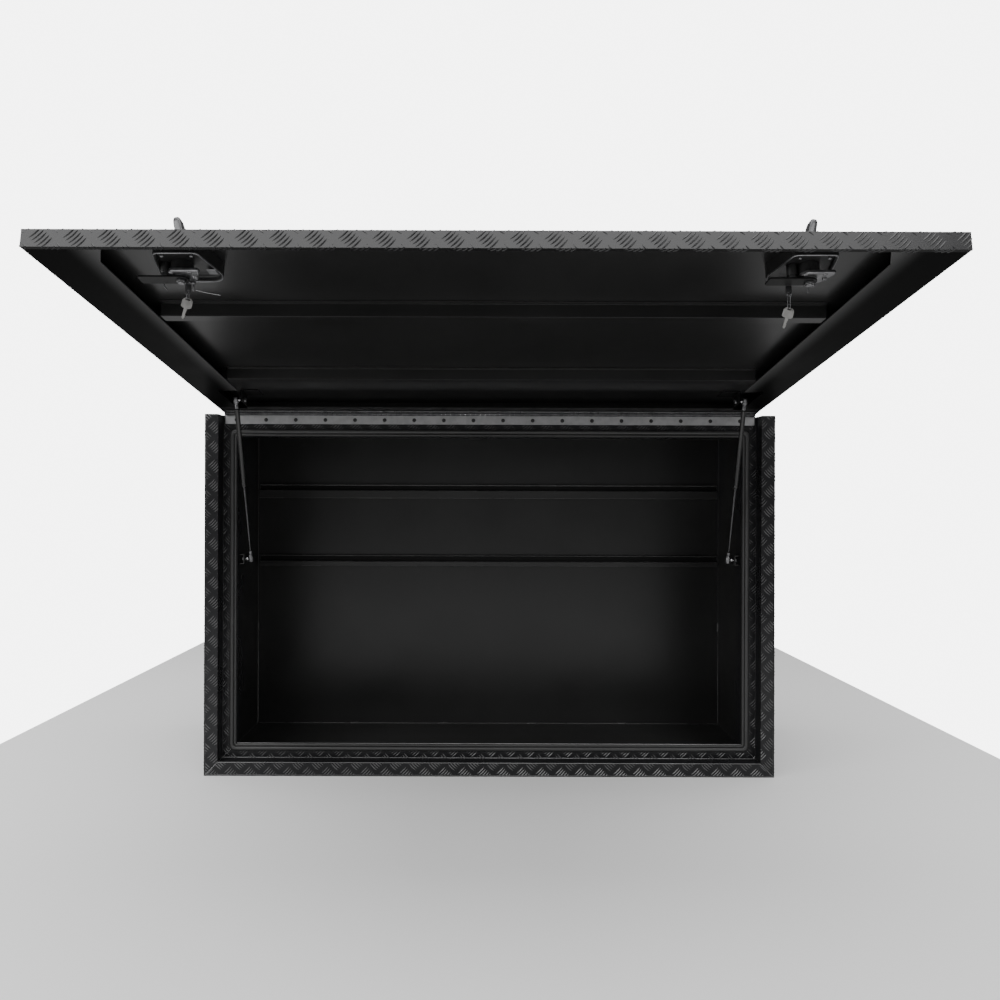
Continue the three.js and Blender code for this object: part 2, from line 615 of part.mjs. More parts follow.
// A plate below the pan's skirt, a neck up to its floor, a boss around the spindle and the key tab.
function lockHousing(tabOffset) {
  const top = PAN_FLOOR - GAP;
  const cut = HOUSING_CHAMFER;
  const outline = [
    [-HOUSING_LEFT, -HOUSING_HALF + cut], [-HOUSING_LEFT + cut, -HOUSING_HALF],
    [HOUSING_RIGHT - cut, -HOUSING_HALF], [HOUSING_RIGHT, -HOUSING_HALF + cut],
    [HOUSING_RIGHT, HOUSING_HALF - cut], [HOUSING_RIGHT - cut, HOUSING_HALF],
    [-HOUSING_LEFT + cut, HOUSING_HALF], [-HOUSING_LEFT, HOUSING_HALF - cut],
  ];
  const armLow = Math.min(tabOffset - TAB_HALF, 0);
  const armHigh = Math.max(tabOffset + TAB_HALF, 0);
  const tabFront = TAB_BACK - TAB_SHEET / 2;
  const tabBack = TAB_BACK + TAB_SHEET / 2;
  const tabTop = HOUSING_LOW + TAB_SHEET;
  const parts = [
    rod(HOUSING_BOSS_R, [0, 0, HOUSING_BOSS_LOW], [0, 0, top]),
    block(-HOUSING_LEFT, HOUSING_NECK, -HOUSING_NECK, HOUSING_NECK, HOUSING_LOW, top),
    block(armLow, armHigh, tabFront - 2 * TAB_SHEET, tabBack, HOUSING_LOW, tabTop),
    block(tabOffset - TAB_HALF, tabOffset + TAB_HALF, tabFront, tabBack, TAB_W - TAB_HALF, tabTop),
  ];
  const plate = alongZ(outline, HOUSING_LOW, PAN_LOW - GAP);
  const body = parts.reduce((whole, part) => whole.add(part), plate);
  const eye = rod(EYE_R, [tabOffset, tabFront - PAST, TAB_W], [tabOffset, tabBack + PAST, TAB_W]);
  return body.subtract(eye).subtract(rod(SPINDLE_R + GAP, [0, 0, TAB_W], [0, 0, SKIN_TOP]));
}

// A disc on the pan's floor, the spindle through it, and the tongue that the handle folds on.
function hub() {
  const discLow = PAN_FLOOR + PAN_SHEET + GAP;
  const discHigh = FOLD_W - HANDLE_R - 2 * GAP;
  const disc = rod(HUB_R, [0, 0, discLow], [0, 0, discHigh], 16);
  const spindle = rod(SPINDLE_R, [0, 0, SPINDLE_LOW], [0, 0, discHigh - PAST]);
  const tongueHigh = FOLD_W + HANDLE_R - FOLD_PIN_R;
  const tongue = block(-TONGUE_WIDE, TONGUE_WIDE, -TONGUE_HALF, TONGUE_HALF, discHigh - PAST, tongueHigh);
  const pinHole = rod(FOLD_PIN_R + GAP, [0, -HANDLE_HALF, FOLD_W], [0, HANDLE_HALF, FOLD_W]);
  return disc.add(spindle).add(tongue).subtract(pinHole);
}

// The handle lies along +X from its pin, forked over the hub's tongue.
function handle() {
  const outline = new THREE.Shape();
  const tip = HANDLE_LENGTH - HANDLE_TIP_R;
  outline.moveTo(0, -HANDLE_R);
  outline.lineTo(tip, -HANDLE_TIP_R);
  outline.absarc(tip, 0, HANDLE_TIP_R, -Math.PI / 2, Math.PI / 2);
  outline.lineTo(0, HANDLE_R);
  const grip = alongY(outline, -HANDLE_HALF, HANDLE_HALF);
  const eyeEnd = rod(HANDLE_R, [0, -HANDLE_HALF, 0], [0, HANDLE_HALF, 0]);
  const cheek = TONGUE_HALF + 2 * GAP;
  const deep = HANDLE_R + PAST;
  const slot = block(-deep, HANDLE_FORK, -cheek, cheek, -deep, deep);
  const pinHole = rod(FOLD_PIN_R + GAP, [0, -HANDLE_HALF - PAST, 0], [0, HANDLE_HALF + PAST, 0]);
  return eyeEnd.add(grip).subtract(slot).subtract(pinHole);
}

function cam() {
  const outline = new THREE.Shape();
  outline.moveTo(0, -CAM_HALF);
  outline.lineTo(CAM_LENGTH - CAM_CHAMFER, -CAM_HALF);
  outline.lineTo(CAM_LENGTH, -CAM_HALF + CAM_CHAMFER);
  outline.lineTo(CAM_LENGTH, CAM_HALF - CAM_CHAMFER);
  outline.lineTo(CAM_LENGTH - CAM_CHAMFER, CAM_HALF);
  outline.lineTo(0, CAM_HALF);
  outline.absarc(0, 0, CAM_HALF, Math.PI / 2, Math.PI * 1.5);
  return alongZ(outline, CAM_TOP - CAM_THICK, CAM_TOP).subtract(spindleBore());
}

function camNut() {
  const top = CAM_TOP - CAM_THICK - GAP;
  return rod(CAM_NUT_R, [0, 0, top - CAM_NUT_HEIGHT], [0, 0, top], 6).subtract(spindleBore());
}

function spindleBore() {
  return rod(SPINDLE_R + GAP, [0, 0, TAB_W], [0, 0, 0]);
}

function lockBarrel() {
  const x = BARREL_OFFSET;
  const face = PAN_FLOOR + PAN_SHEET + LOCK_R;
  const barrel = rod(LOCK_R, [x, 0, LOCK_LOW], [x, 0, face], 16);
  const { half, reach, depth } = KEYWAY;
  return barrel.subtract(block(x - half, x + half, -reach, reach, face - depth, face + PAST));
}

// A flat wire loop in the plane across the tab, its top bar in the tab's eye.
function keyLoop(length) {
  const half = LOOP_WIRE / 2;
  const outer = roundedRectangle(LOOP_HALF, -length, half, LOOP_HALF - LOOP_WIRE / 2);
  const inner = LOOP_HALF - LOOP_WIRE;
  const hole = roundedRectangle(inner, LOOP_WIRE - length, -half, inner - half);
  const flat = alongY(outer, -half, half).subtract(alongY(hole, -half - PAST, half + PAST));
  return flat.rotate([0, 0, 90]);
}

// A flat key with a slot in its head, its blade down. The origin is where it hangs on the loop.
function key() {
  const half = KEY_HEAD_HALF;
  const cut = KEY_HEAD_CHAMFER;
  const blade = KEY_BLADE_HALF;
  const headLow = KEY_SLOT - KEY_HEAD;
  const tip = KEY_SLOT - KEY_LENGTH;
  const outline = [
    [-half, KEY_SLOT - cut], [-half, headLow + cut], [-half + cut, headLow], [-blade, headLow],
    [-blade, tip + blade], [-blade / 2, tip], [blade / 2, tip], [blade, tip + blade], [blade, headLow],
    [half - cut, headLow], [half, headLow + cut], [half, KEY_SLOT - cut], [half - cut, KEY_SLOT],
    [-half + cut, KEY_SLOT],
  ];
  const slot = block(-KEY_SLOT, KEY_SLOT, -KEY_THICK, KEY_THICK, -LOOP_WIRE, LOOP_WIRE);
  return alongY(outline, -KEY_THICK / 2, KEY_THICK / 2).subtract(slot);
}

// Everything that belongs to one latch. At rest the handle leans outboard and the cam points to -X.
function latch(tag, side) {
  const outward = side > 0 ? 0 : Math.PI;
  const tabOffset = TAB_OFFSET[tag];
  const pin = rod(FOLD_PIN_R, [0, -HANDLE_HALF + PAST, FOLD_W], [0, HANDLE_HALF - PAST, FOLD_W]);

  const folded = new THREE.Group();
  folded.position.z = FOLD_W;
  folded.rotation.set(0, -HANDLE_LIFT, outward, 'ZYX');
  folded.add(piece(`latch_handle_${tag}`, handle(), HANDLE_CHROME));

  const turned = new THREE.Group();
  turned.rotation.z = Math.PI;
  turned.add(piece(`latch_cam_${tag}`, cam(), BLACK_STEEL));

  const tilted = new THREE.Group();
  tilted.position.z = LOOP_WIRE / 2 - LOOP_LENGTH[tag];
  tilted.rotation.y = KEY_TILT;
  tilted.add(piece(`key_${tag}`, key(), BRIGHT_STEEL));

  const hanging = new THREE.Group();
  hanging.position.set(tabOffset, TAB_BACK, TAB_W);
  hanging.rotation.x = DOOR_RISE;
  hanging.add(piece(`key_loop_${tag}`, keyLoop(LOOP_LENGTH[tag]), BRIGHT_STEEL), tilted);

  const group = new THREE.Group();
  group.position.set(side * LATCH_X, -LATCH_U, 0);
  group.add(
    piece(`latch_pan_${tag}`, latchPan(side), BLACK_STEEL),
    piece(`latch_housing_${tag}`, lockHousing(tabOffset), ZINC),
    piece(`latch_hub_${tag}`, hub(), ZINC),
    piece(`latch_fold_pin_${tag}`, pin, BRIGHT_STEEL),
    piece(`latch_cam_nut_${tag}`, camNut(), ZINC),
    piece(`lock_barrel_${tag}`, lockBarrel(), ZINC),
    folded, turned, hanging,
  );
  return group;
}

// ---- The whole ----
function door() {
  const group = new THREE.Group();
  group.position.set(0, PIVOT_Y, PIVOT_Z);
  group.rotation.x = -DOOR_RISE;
  group.add(piece('door_skin', doorSkin(), BLACK_COAT), piece('hinge_door_leaf', doorLeaf(), ZINC));
  for (const { name, centre } of STIFFENERS) {
    group.add(piece(name, stiffener(centre), BLACK_COAT));
  }
  for (const [tag, side] of SIDES) {
    const { u, w } = UPPER_BALL;
    const nutStart = SHEET + GAP - UPPER_WEB;
    group.add(
      piece(`door_channel_${tag}`, doorChannel(side), BLACK_COAT),
      piece(`strut_upper_bracket_${tag}`, upperBracket(side), BLACK_STEEL),
      piece(`strut_upper_nut_${tag}`, nut(nutStart, -u, w, -side), ZINC),
      latch(tag, side),
    );
  }
  return group;
}

function box() {
  const group = new THREE.Group();
  group.add(
    piece('floor_panel', floorPanel(), BLACK_COAT),
    piece('back_panel', backPanel(), BLACK_COAT),
    piece('left_side_panel', sidePanel(-1), BLACK_COAT),
    piece('right_side_panel', sidePanel(1), BLACK_COAT),
    piece('top_panel', topPanel(), BLACK_COAT),
    piece('frame_left', onSide(sideMember(), -1), BLACK_COAT),
    piece('frame_right', sideMember(), BLACK_COAT),
    piece('frame_bottom', bottomMember(), BLACK_COAT),
    piece('frame_top', topMember(), BLACK_COAT),
    piece('door_seal', doorSeal(), RUBBER),
    ...RAILS.map((rail) => piece(rail.name, backRail(rail), BLACK_COAT)),
  );
  return group;
}

function toolBox() {
  const group = new THREE.Group();
  group.add(box(), hinge(), door());
  for (const [tag, side] of SIDES) {
    const { y, z } = LOWER_BALL;
    group.add(
      piece(`strut_lower_bracket_${tag}`, lowerBracket(side), BLACK_STEEL),
      piece(`strut_lower_nut_${tag}`, nut(LOWER_WEB + SHEET + GAP, y, z, side), ZINC),
      strut(tag, side),
    );
  }
  return group;
}

export default toolBox();
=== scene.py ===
import json
from math import atan2, copysign, cos, pi, radians, sin, sqrt, tan

import bmesh
import bpy
import numpy as np
from mathutils import Matrix, Vector


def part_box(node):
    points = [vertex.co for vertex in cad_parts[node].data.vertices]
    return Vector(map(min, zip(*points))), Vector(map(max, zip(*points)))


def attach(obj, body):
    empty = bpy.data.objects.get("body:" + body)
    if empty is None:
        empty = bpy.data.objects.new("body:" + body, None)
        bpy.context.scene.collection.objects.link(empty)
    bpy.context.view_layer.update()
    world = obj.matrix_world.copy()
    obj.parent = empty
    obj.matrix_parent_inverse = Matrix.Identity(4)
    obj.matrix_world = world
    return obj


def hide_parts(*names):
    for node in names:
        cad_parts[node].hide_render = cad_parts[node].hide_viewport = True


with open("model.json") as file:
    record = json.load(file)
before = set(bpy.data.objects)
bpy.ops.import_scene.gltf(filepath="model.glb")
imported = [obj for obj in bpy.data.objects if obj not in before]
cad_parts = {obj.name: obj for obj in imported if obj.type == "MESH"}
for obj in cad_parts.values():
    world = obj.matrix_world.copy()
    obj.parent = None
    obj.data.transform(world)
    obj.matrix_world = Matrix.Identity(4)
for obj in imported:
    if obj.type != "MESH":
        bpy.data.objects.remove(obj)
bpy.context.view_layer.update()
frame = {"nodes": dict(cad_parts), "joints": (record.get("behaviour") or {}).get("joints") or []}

JOINTS = {joint["name"]: joint for joint in frame["joints"]}
SIDES = (("L", -1), ("R", 1))

# ---- Sizes ----
FLANGE = 0.035  # width of the outer front flange
SHEET = 0.0025
SHELL = SHEET + 0.0003  # how far the front's tread stays inside the shell's outer faces
OPENING_HALF = 0.6525
SEAL_INSET = 0.0015
SEAL_WIDTH = 0.017
SEAL_HEIGHT = 0.0078
SEAL_FOOT = 0.0022  # thickness of the seal between its ridges
SEAL_RIDGES = (0.0028, 0.0054)  # half widths of the inner and the outer ridge
INNER_RIDGE_DROP = 0.003
BAR_LENGTH = 0.0245  # raised bars of the tread plate
BAR_WIDTH = 0.003
BAR_HEIGHT = 0.0012
BAR_BOW = -0.0012  # how far a bar's middle is bent sideways
BAR_SHORTEST = 0.0015
BAR_ROOT = 0.0001  # how deep a bar's foot is sunk into its sheet
FINE_STATIONS = 6  # cross-sections of a bar where it is seen from near
LIP_STATIONS = 7
BAR_PITCH = 0.0059
BARS_IN_GROUP = 5
GROUP_PITCH = 0.0495
# Shifts of the tread pattern, across and up, on the left, right and bottom member and above the seal.
FLANGE_PHASES = ((-0.0064, -0.0051), (-0.0051, 0.0102), (-0.0127, 0.0076))
LANDING_PHASES = ((-0.0026, -0.018), (-0.0026, -0.0232), (0.0038, 0.005), (0.0, 0.0))
LIP_PHASE = -0.0126  # where a group of bars lies on the free lip
LIP_MIDDLE = 0.01525  # middle of the door's lips above the pivot
KNUCKLES = 108
KNUCKLE_GAP = 0.0005
KNUCKLE_CHAMFER = 0.0005
KNUCKLE_BORE_R = 0.0023
BARREL_R = 0.0055
LEAF_THICK = 0.0016
LEAF_SCREWS = 18
LEAF_SCREW_PITCH = 0.0766
LEAF_SCREW_SHIFT = -0.0044  # the row of leaf screws lies this far off the middle
SKIN_TOP = 0.029  # the door's skin above its pivot
LIP_LOW = 0.0015
DOOR_HALF = 0.685
DOOR_START = 0.006
DOOR_END = 0.878
DOOR_HEM = 0.008
SEAM_BEAD = 0.0022  # radii of the weld beads
DEPTH_BEAD = 0.0012
CORNER_BEAD = 0.003
STITCH_BEAD = 0.0042
CORNER_STITCH = (0.29, 0.32)  # heights between which the corner welds run
STITCHES = 4
STITCH_PITCH = 0.28
STITCH_HALF = 0.016
TUBE_R = 0.0058  # gas strut
TUBE_LENGTH = 0.201
ROD_R = 0.0026
SOCKET_REACH = 0.0222  # from a ball's middle to the end of its socket
BALL_R = 0.0045
THREAD_PITCH = 0.0011
PAN_SHIFT = 0.006  # the pan's middle lies this far inboard of its hub
PAN_NARROW = 0.033
PAN_WIDE = 0.047
PAN_FREE = 0.046
PAN_SHOULDER = 0.02
PAN_BACK = 0.048
PAN_CORNER = 0.01
PAN_BOTTOM_HALF = 0.02
PAN_SURROUND = 0.014  # no tread bars this close to a pan
CASE_PIN_X = {"L": 0.012, "R": 0.006}
KEY_LOOP = {"L": 0.013, "R": 0.025}
KEY_LOOP_HALF = 0.0049
KEY_WIRE_R = 0.0006
KEY_TILT = radians(15)
KEY_TOP = 0.0026  # top of a key's bow above the foot of its loop
KEY_HALF = 0.0011  # half of the bow's thickness

# ---- Light ----
WORLD_LIGHT = 0.28
WORLD_SEEN = 6.0
STAGE_HALF = 1.4  # half width of the pale floor, and its reach to the front and back
STAGE_NEAR = 3.2
STAGE_FAR = 1.7
STAGE_LOW = -0.0002
STAGE_GREY = 0.86
STAGE_ROUGHNESS = 0.9
LIGHTS = (  # name, size, power, place, target
    ("key", (7.0, 2.2), 190, (-0.8, -3.6, 3.4), (-0.4, 0, 0.6)),
    ("left", (1.4, 3.0), 60, (-3.4, -2.2, 1.4), (0, 0, 0.6)),
    ("right", (1.4, 3.0), 18, (3.4, -2.2, 1.4), (0, 0, 0.6)),
    ("top", (5.0, 3.0), 170, (0, -0.6, 4.2), (0, -0.6, 0)),
)

# ---- Camera ----
CAMERA_LENS = 27.29
CAMERA_SENSOR = 36.0
CAMERA_SHIFT = (0.0172, 0.0024)
CAMERA_ACROSS = -0.0178
CAMERA_AHEAD = 1.926  # distance in front of the box
CAMERA_UP = 0.697
CAMERA_ROLL = radians(-0.19)

# ---- Finish ----
FOLD_ANGLE = radians(40)  # edges sharper than this get a folded radius
FOLD_SEGMENTS = 2
CLOUD_SCALE = 3.0
SMEAR_SCALE = 6.0
TARNISH_SCALE = 60.0
PEEL_SCALE = 900.0
BUMP_DEPTH = 0.0001
# Greys of the channels' coat, from its outer half to its inner edge: the lighter one is a painted
# reflection.
CHANNEL_PAINTED_REFLECTION_GREYS = (0.003, 0.075)
CHANNEL_ROUGHNESS = (0.3, 0.38)
CHANNEL_SPECULAR = 0.012


# ---- Materials ----
def new_material(name):
    """An empty node material and its principled shader."""
    material = bpy.data.materials.new(name)
    material.use_nodes = True
    tree = material.node_tree
    shader = tree.nodes["Principled BSDF"]
    return material, tree, shader


def add_noise(tree, scale, detail=3.0, stretch=(1, 1, 1)):
    """Noise on object coordinates, stretched by a scale for each axis."""
    place = tree.nodes.new("ShaderNodeTexCoord")
    mapping = tree.nodes.new("ShaderNodeMapping")
    mapping.inputs["Scale"].default_value = stretch
    noise = tree.nodes.new("ShaderNodeTexNoise")
    noise.inputs["Scale"].default_value = scale
    noise.inputs["Detail"].default_value = detail
    tree.links.new(place.outputs["Object"], mapping.inputs["Vector"])
    tree.links.new(mapping.outputs["Vector"], noise.inputs["Vector"])
    return noise


def opaque(tint):
    """The full colour of a grey or of a red, green and blue tint."""
    return (*tint, 1) if isinstance(tint, tuple) else (tint, tint, tint, 1)


def add_ramp(tree, noise, low, high, socket):
    """Drives a socket with a value or colour that runs from low to high with the noise."""
    ramp = tree.nodes.new("ShaderNodeValToRGB")
    ramp.color_ramp.elements[0].position = 0.35
    ramp.color_ramp.elements[1].position = 0.65
    ramp.color_ramp.elements[0].color = opaque(low)
    ramp.color_ramp.elements[1].color = opaque(high)
    tree.links.new(noise.outputs["Fac"], ramp.inputs["Fac"])
    tree.links.new(ramp.outputs["Color"], socket)


def add_bump(tree, shader, noise, strength):
    """Bumps the shader's normals by the noise."""
    bump = tree.nodes.new("ShaderNodeBump")
    bump.inputs["Strength"].default_value = strength
    bump.inputs["Distance"].default_value = BUMP_DEPTH
    tree.links.new(noise.outputs["Fac"], bump.inputs["Height"])
    tree.links.new(bump.outputs["Normal"], shader.inputs["Normal"])


def add_peel(tree, shader, rough, grain, depth, specular):
    """Faint changes of gloss and the fine orange peel of a coat."""
    add_ramp(tree, add_noise(tree, SMEAR_SCALE, 2.0), *rough, shader.inputs["Roughness"])
    add_bump(tree, shader, add_noise(tree, grain, 2.0), depth)
    shader.inputs["Specular IOR Level"].default_value = specular


def coated(name, dark, light, rough, grain=PEEL_SCALE, depth=0.12, specular=0.5):
    """Paint, powder coat or rubber, with faint changes of colour and gloss."""
    material, tree, shader = new_material(name)
    add_ramp(tree, add_noise(tree, CLOUD_SCALE), dark, light, shader.inputs["Base Color"])
    add_peel(tree, shader, rough, grain, depth, specular)
    return material


def metal(name, dark, light, rough, stretch=(1, 1, 1), grain=400, depth=0.2):
    """Bare or plated metal with a brushed or cast grain."""
    material, tree, shader = new_material(name)
    shader.inputs["Metallic"].default_value = 1.0
    grain_noise = add_noise(tree, grain, 4.0, stretch)
    add_ramp(tree, add_noise(tree, TARNISH_SCALE), dark, light, shader.inputs["Base Color"])
    add_ramp(tree, grain_noise, *rough, shader.inputs["Roughness"])
    add_bump(tree, shader, grain_noise, depth)
    return material


def channel_painted_reflection_coat(name, outer, inner):
    """Coat of a channel at the door's side, lighter from its middle to its inner edge: a painted reflection
    of the lights.
    """
    material, tree, shader = new_material(name)
    place = tree.nodes.new("ShaderNodeTexCoord")
    parts = tree.nodes.new("ShaderNodeSeparateXYZ")
    across = tree.nodes.new("ShaderNodeMapRange")
    across.interpolation_type = "SMOOTHSTEP"
    across.inputs["From Min"].default_value = outer + 0.5 * (inner - outer)
    across.inputs["From Max"].default_value = inner
    across.inputs["To Min"].default_value, across.inputs["To Max"].default_value = CHANNEL_PAINTED_REFLECTION_GREYS
    tree.links.new(place.outputs["Object"], parts.inputs["Vector"])
    tree.links.new(parts.outputs["X"], across.inputs["Value"])
    tree.links.new(across.outputs["Result"], shader.inputs["Base Color"])
    add_peel(tree, shader, CHANNEL_ROUGHNESS, PEEL_SCALE, 0.12, CHANNEL_SPECULAR)
    return material


def cool(grey, blue=0.001):
    """A grey with a little more blue."""
    return (grey, grey, grey + blue)


# Name, darkest and lightest colour, range of roughness, then whatever differs from the usual.
# Painted highlight: the tread bars get a much lighter colour than the sheets they stand on, standing in for
# their glints.
TREAD_PAINTED_GLINT = coated("tread_crown_coat", cool(0.06), cool(0.078), (0.2, 0.24), depth=0.05)
FRAME = coated("frame_powder_coat", cool(0.009), cool(0.012), (0.26, 0.31), specular=0.25)
FLOOR_COAT = coated("inner_floor_coat", 0.018, 0.026, (0.35, 0.45))
# Painted highlight: a light coat on the bevelled edges of the bottom member, standing in for the glint of
# the lights.
EDGE_PAINTED_HIGHLIGHT = coated("worn_edge_coat", cool(0.12), cool(0.34, 0.002), (0.22, 0.3), depth=0.05)
WALL = coated("inner_wall_coat", 0.017, 0.021, (0.3, 0.36), specular=0.35)
RAIL = coated("rail_coat", 0.024, 0.03, (0.28, 0.34), specular=0.4)
# Painted highlight on the rails' bevelled edges.
RAIL_EDGE_PAINTED_HIGHLIGHT = coated("rail_edge_coat", 0.06, 0.09, (0.22, 0.3), depth=0.05)
WELD = coated("weld_coat", 0.02, 0.06, (0.25, 0.35), depth=0.05)
CAM_STEEL = coated("cam_steel", 0.006, 0.009, (0.4, 0.5), specular=0.15)
# Darker and duller than the rails' coat: painted shade in the rails' groove. The faces under the door's hem
# get it too.
PAINTED_SHADE_AND_DULL_COAT = coated("recess_coat", 0.007, 0.009, (0.5, 0.55), specular=0.12)
BLACK = coated("black_powder_coat", cool(0.01), cool(0.013), (0.26, 0.28), specular=0.45)
INNER = coated("black_inner_coat", 0.0095, 0.0125, (0.3, 0.36), specular=0.35)
RUBBER = coated("seal_rubber", 0.018, 0.03, (0.36, 0.5), 1400.0, 0.5)
BLACK_STEEL = coated("black_steel", 0.008, 0.013, (0.34, 0.52), 700.0, 0.3)
STRUT_BLACK = coated("strut_gloss_black", 0.007, 0.01, (0.16, 0.26), 300.0, 0.1)
KNUCKLE = metal("knuckle_steel", cool(0.055, 0.002), cool(0.085, 0.002), (0.36, 0.44), grain=300, depth=0.1)
RIM = metal("worn_rim", cool(0.16, 0.005), cool(0.24, 0.005), (0.3, 0.42), grain=300, depth=0.15)
MILL = metal("mill_hinge_steel", cool(0.42, 0.005), cool(0.5, 0.005), (0.36, 0.44), (1, 60, 60), 25.0, 0.08)
ROD = metal("strut_rod_steel", cool(0.06, 0.002), cool(0.085, 0.002), (0.24, 0.32), (1, 1, 20), 120.0, 0.1)
BRIGHT = metal("bright_steel", cool(0.36, 0.005), cool(0.46, 0.005), (0.14, 0.24), (1, 1, 20), 120.0, 0.1)
ZINC = metal("cast_zinc", cool(0.13, 0.004), cool(0.22, 0.004), (0.34, 0.46), grain=500, depth=0.35)
CHROME = metal("satin_chrome", cool(0.075, 0.002), cool(0.1, 0.002), (0.26, 0.34), grain=300, depth=0.1)
NICKEL = metal("key_nickel", (0.24, 0.237, 0.23), (0.32, 0.317, 0.31), (0.3, 0.4), grain=350, depth=0.2)


# ---- Mesh helpers ----
HERE = Matrix.Identity(4)


def mm(*rows):
    """Rows of millimetres, in metres."""
    return [tuple(value / 1000 for value in row) for row in rows]


class Solid:
    """Points and faces of one piece, gathered from simple closed forms."""

    def __init__(self):
        self.points = []
        self.faces = []

    def loft(self, rings, closed=False):
        """Joins rings of equal length, and caps the ends unless the last ring is joined to the first."""
        first = len(self.points)
        count = len(rings[0])
        for ring in rings:
            self.points.extend(Vector(point) for point in ring)
        steps = len(rings) if closed else len(rings) - 1
        for i in range(steps):
            low = first + i * count
            high = first + ((i + 1) % len(rings)) * count
            for k in range(count):
                after = (k + 1) % count
                self.faces.append((low + k, low + after, high + after, high + k))
        if not closed:
            self.faces.append(tuple(first + k for k in reversed(range(count))))
            self.faces.append(tuple(first + (len(rings) - 1) * count + k for k in range(count)))
        return self

    def lathe(self, profile, place=HERE, sides=32, closed=False):
        """Turns (radius, height) points about the local Z axis; closed joins the last point to the first."""
        rings = []
        for radius, height in profile:
            rings.append([place @ Vector((x, y, height)) for x, y in circle(radius, sides)])
        return self.loft(rings, closed=closed)

    def prism(self, outline, low, high, place=HERE, edge=0.0):
        """An outline of (x, y) points from z low to high, its rims drawn in by edge."""
        levels = [(low, edge), (high, edge)]
        if edge:
            levels[1:1] = [(low + edge, 0.0), (high - edge, 0.0)]
        rings = []
        for z, inset in levels:
            rings.append([place @ Vector((x, y, z)) for x, y in grown(outline, -inset)])
        return self.loft(rings)

    def box(self, low, high, place=HERE, edge=0.0):
        """A block between two corners."""
        outline = [(low[0], low[1]), (high[0], low[1]), (high[0], high[1]), (low[0], high[1])]
        return self.prism(outline, low[2], high[2], place, edge)

    def tube(self, path, radius, sides=10, closed=False):
        """A round bar along a path of points."""
        rings = []
        count = len(path)
        normal = None
        for i, point in enumerate(path):
            before = path[(i - 1) % count] if closed or i else point
            after = path[(i + 1) % count] if closed or i < count - 1 else point
            along = (Vector(after) - Vector(before)).normalized()
            if normal is None:
                normal = along.orthogonal().normalized()
            normal = (normal - along * normal.dot(along)).normalized()
            side = along.cross(normal)
            rings.append([Vector(point) + a * normal + b * side for a, b in circle(radius, sides)])
        return self.loft(rings, closed=closed)


def grown(outline, amount):
    """A closed outline moved outwards by amount, corner by corner."""
    if not amount:
        return outline
    moved = []
    count = len(outline)
    for i in range(count):
        before = Vector(outline[i - 1])
        here = Vector(outline[i])
        after = Vector(outline[(i + 1) % count])
        first = (here - before).normalized()
        second = (after - here).normalized()
        out_first = Vector((first.y, -first.x))
        out_second = Vector((second.y, -second.x))
        share = (out_first + out_second) / (1 + out_first.dot(out_second))
        moved.append(tuple(here + amount * share))
    return moved


def rounded(corners, radius, steps):
    """An outline whose corners, listed anticlockwise, are turned into arcs."""
    points = []
    count = len(corners)
    for i in range(count):
        here = Vector(corners[i])
        to_before = (Vector(corners[i - 1]) - here).normalized()
        to_after = (Vector(corners[(i + 1) % count]) - here).normalized()
        half = to_before.angle(to_after) / 2
        reach = radius / tan(half)
        centre = here + (to_before + to_after).normalized() * radius / sin(half)
        start = here + to_before * reach - centre
        end = here + to_after * reach - centre
        sweep = atan2(start.x * end.y - start.y * end.x, start.dot(end))
        for k in range(steps + 1):
            angle = sweep * k / steps
            turned = Vector((start.x * cos(angle) - start.y * sin(angle),
                             start.x * sin(angle) + start.y * cos(angle)))
            points.append(tuple(centre + turned))
    return points


def circle(radius, sides, centre=(0, 0)):
    """Points of a circle, anticlockwise."""
    points = []
    for k in range(sides):
        angle = 2 * pi * k / sides
        points.append((centre[0] + radius * cos(angle), centre[1] + radius * sin(angle)))
    return points


def curve(start, control, end, steps):
    """Points of a quadratic curve, both ends included."""
    points = []
    for i in range(steps + 1):
        t = i / steps
        points.append(tuple((1 - t) ** 2 * a + 2 * t * (1 - t) * b + t * t * c
                            for a, b, c in zip(start, control, end)))
    return points


def matched(ring, other):
    """The ring, started at its point nearest to the other ring's first point."""
    start = min(range(len(ring)), key=lambda k: (Vector(ring[k]) - Vector(other[0])).length)
    return ring[start:] + ring[:start]


def new_mesh(name, points, faces, material):
    """A mesh in one material."""
    mesh = bpy.data.meshes.new(name)
    mesh.from_pydata([tuple(point) for point in points], [], faces)
    mesh.materials.append(material)
    return mesh


def link(name, data):
    """A new object in the scene."""
    thing = bpy.data.objects.new(name, data)
    bpy.context.scene.collection.objects.link(thing)
    return thing


def link_piece(name, mesh, body, smooth):
    """Shades the mesh smooth up to an angle and lets it ride on its body."""
    mesh.shade_smooth()
    mesh.set_sharp_from_angle(angle=radians(smooth))
    piece = link(name, mesh)
    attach(piece, body)
    return piece


def add_piece(name, solid, material, body, place=None, smooth=35.0, replaces=None):
    """Makes the object with its faces turned outwards, in the place of a CAD node if one is named."""
    points = [place @ point for point in solid.points] if place else solid.points
    mesh = new_mesh(name, points, solid.faces, material)
    work = bmesh.new()
    work.from_mesh(mesh)
    bmesh.ops.recalc_face_normals(work, faces=work.faces)
    work.to_mesh(mesh)
    work.free()
    piece = link_piece(name, mesh, body, smooth)
    if replaces:
        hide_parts(replaces)


# ---- Places ----
def joint_place(name):
    """Where a joint of the CAD sits at rest."""
    return Vector(JOINTS[name]["pos_m"])


PIVOT = joint_place("door_hinge")
DOOR_OUT = Vector(JOINTS["latch_turn_L"]["axis"]).normalized()


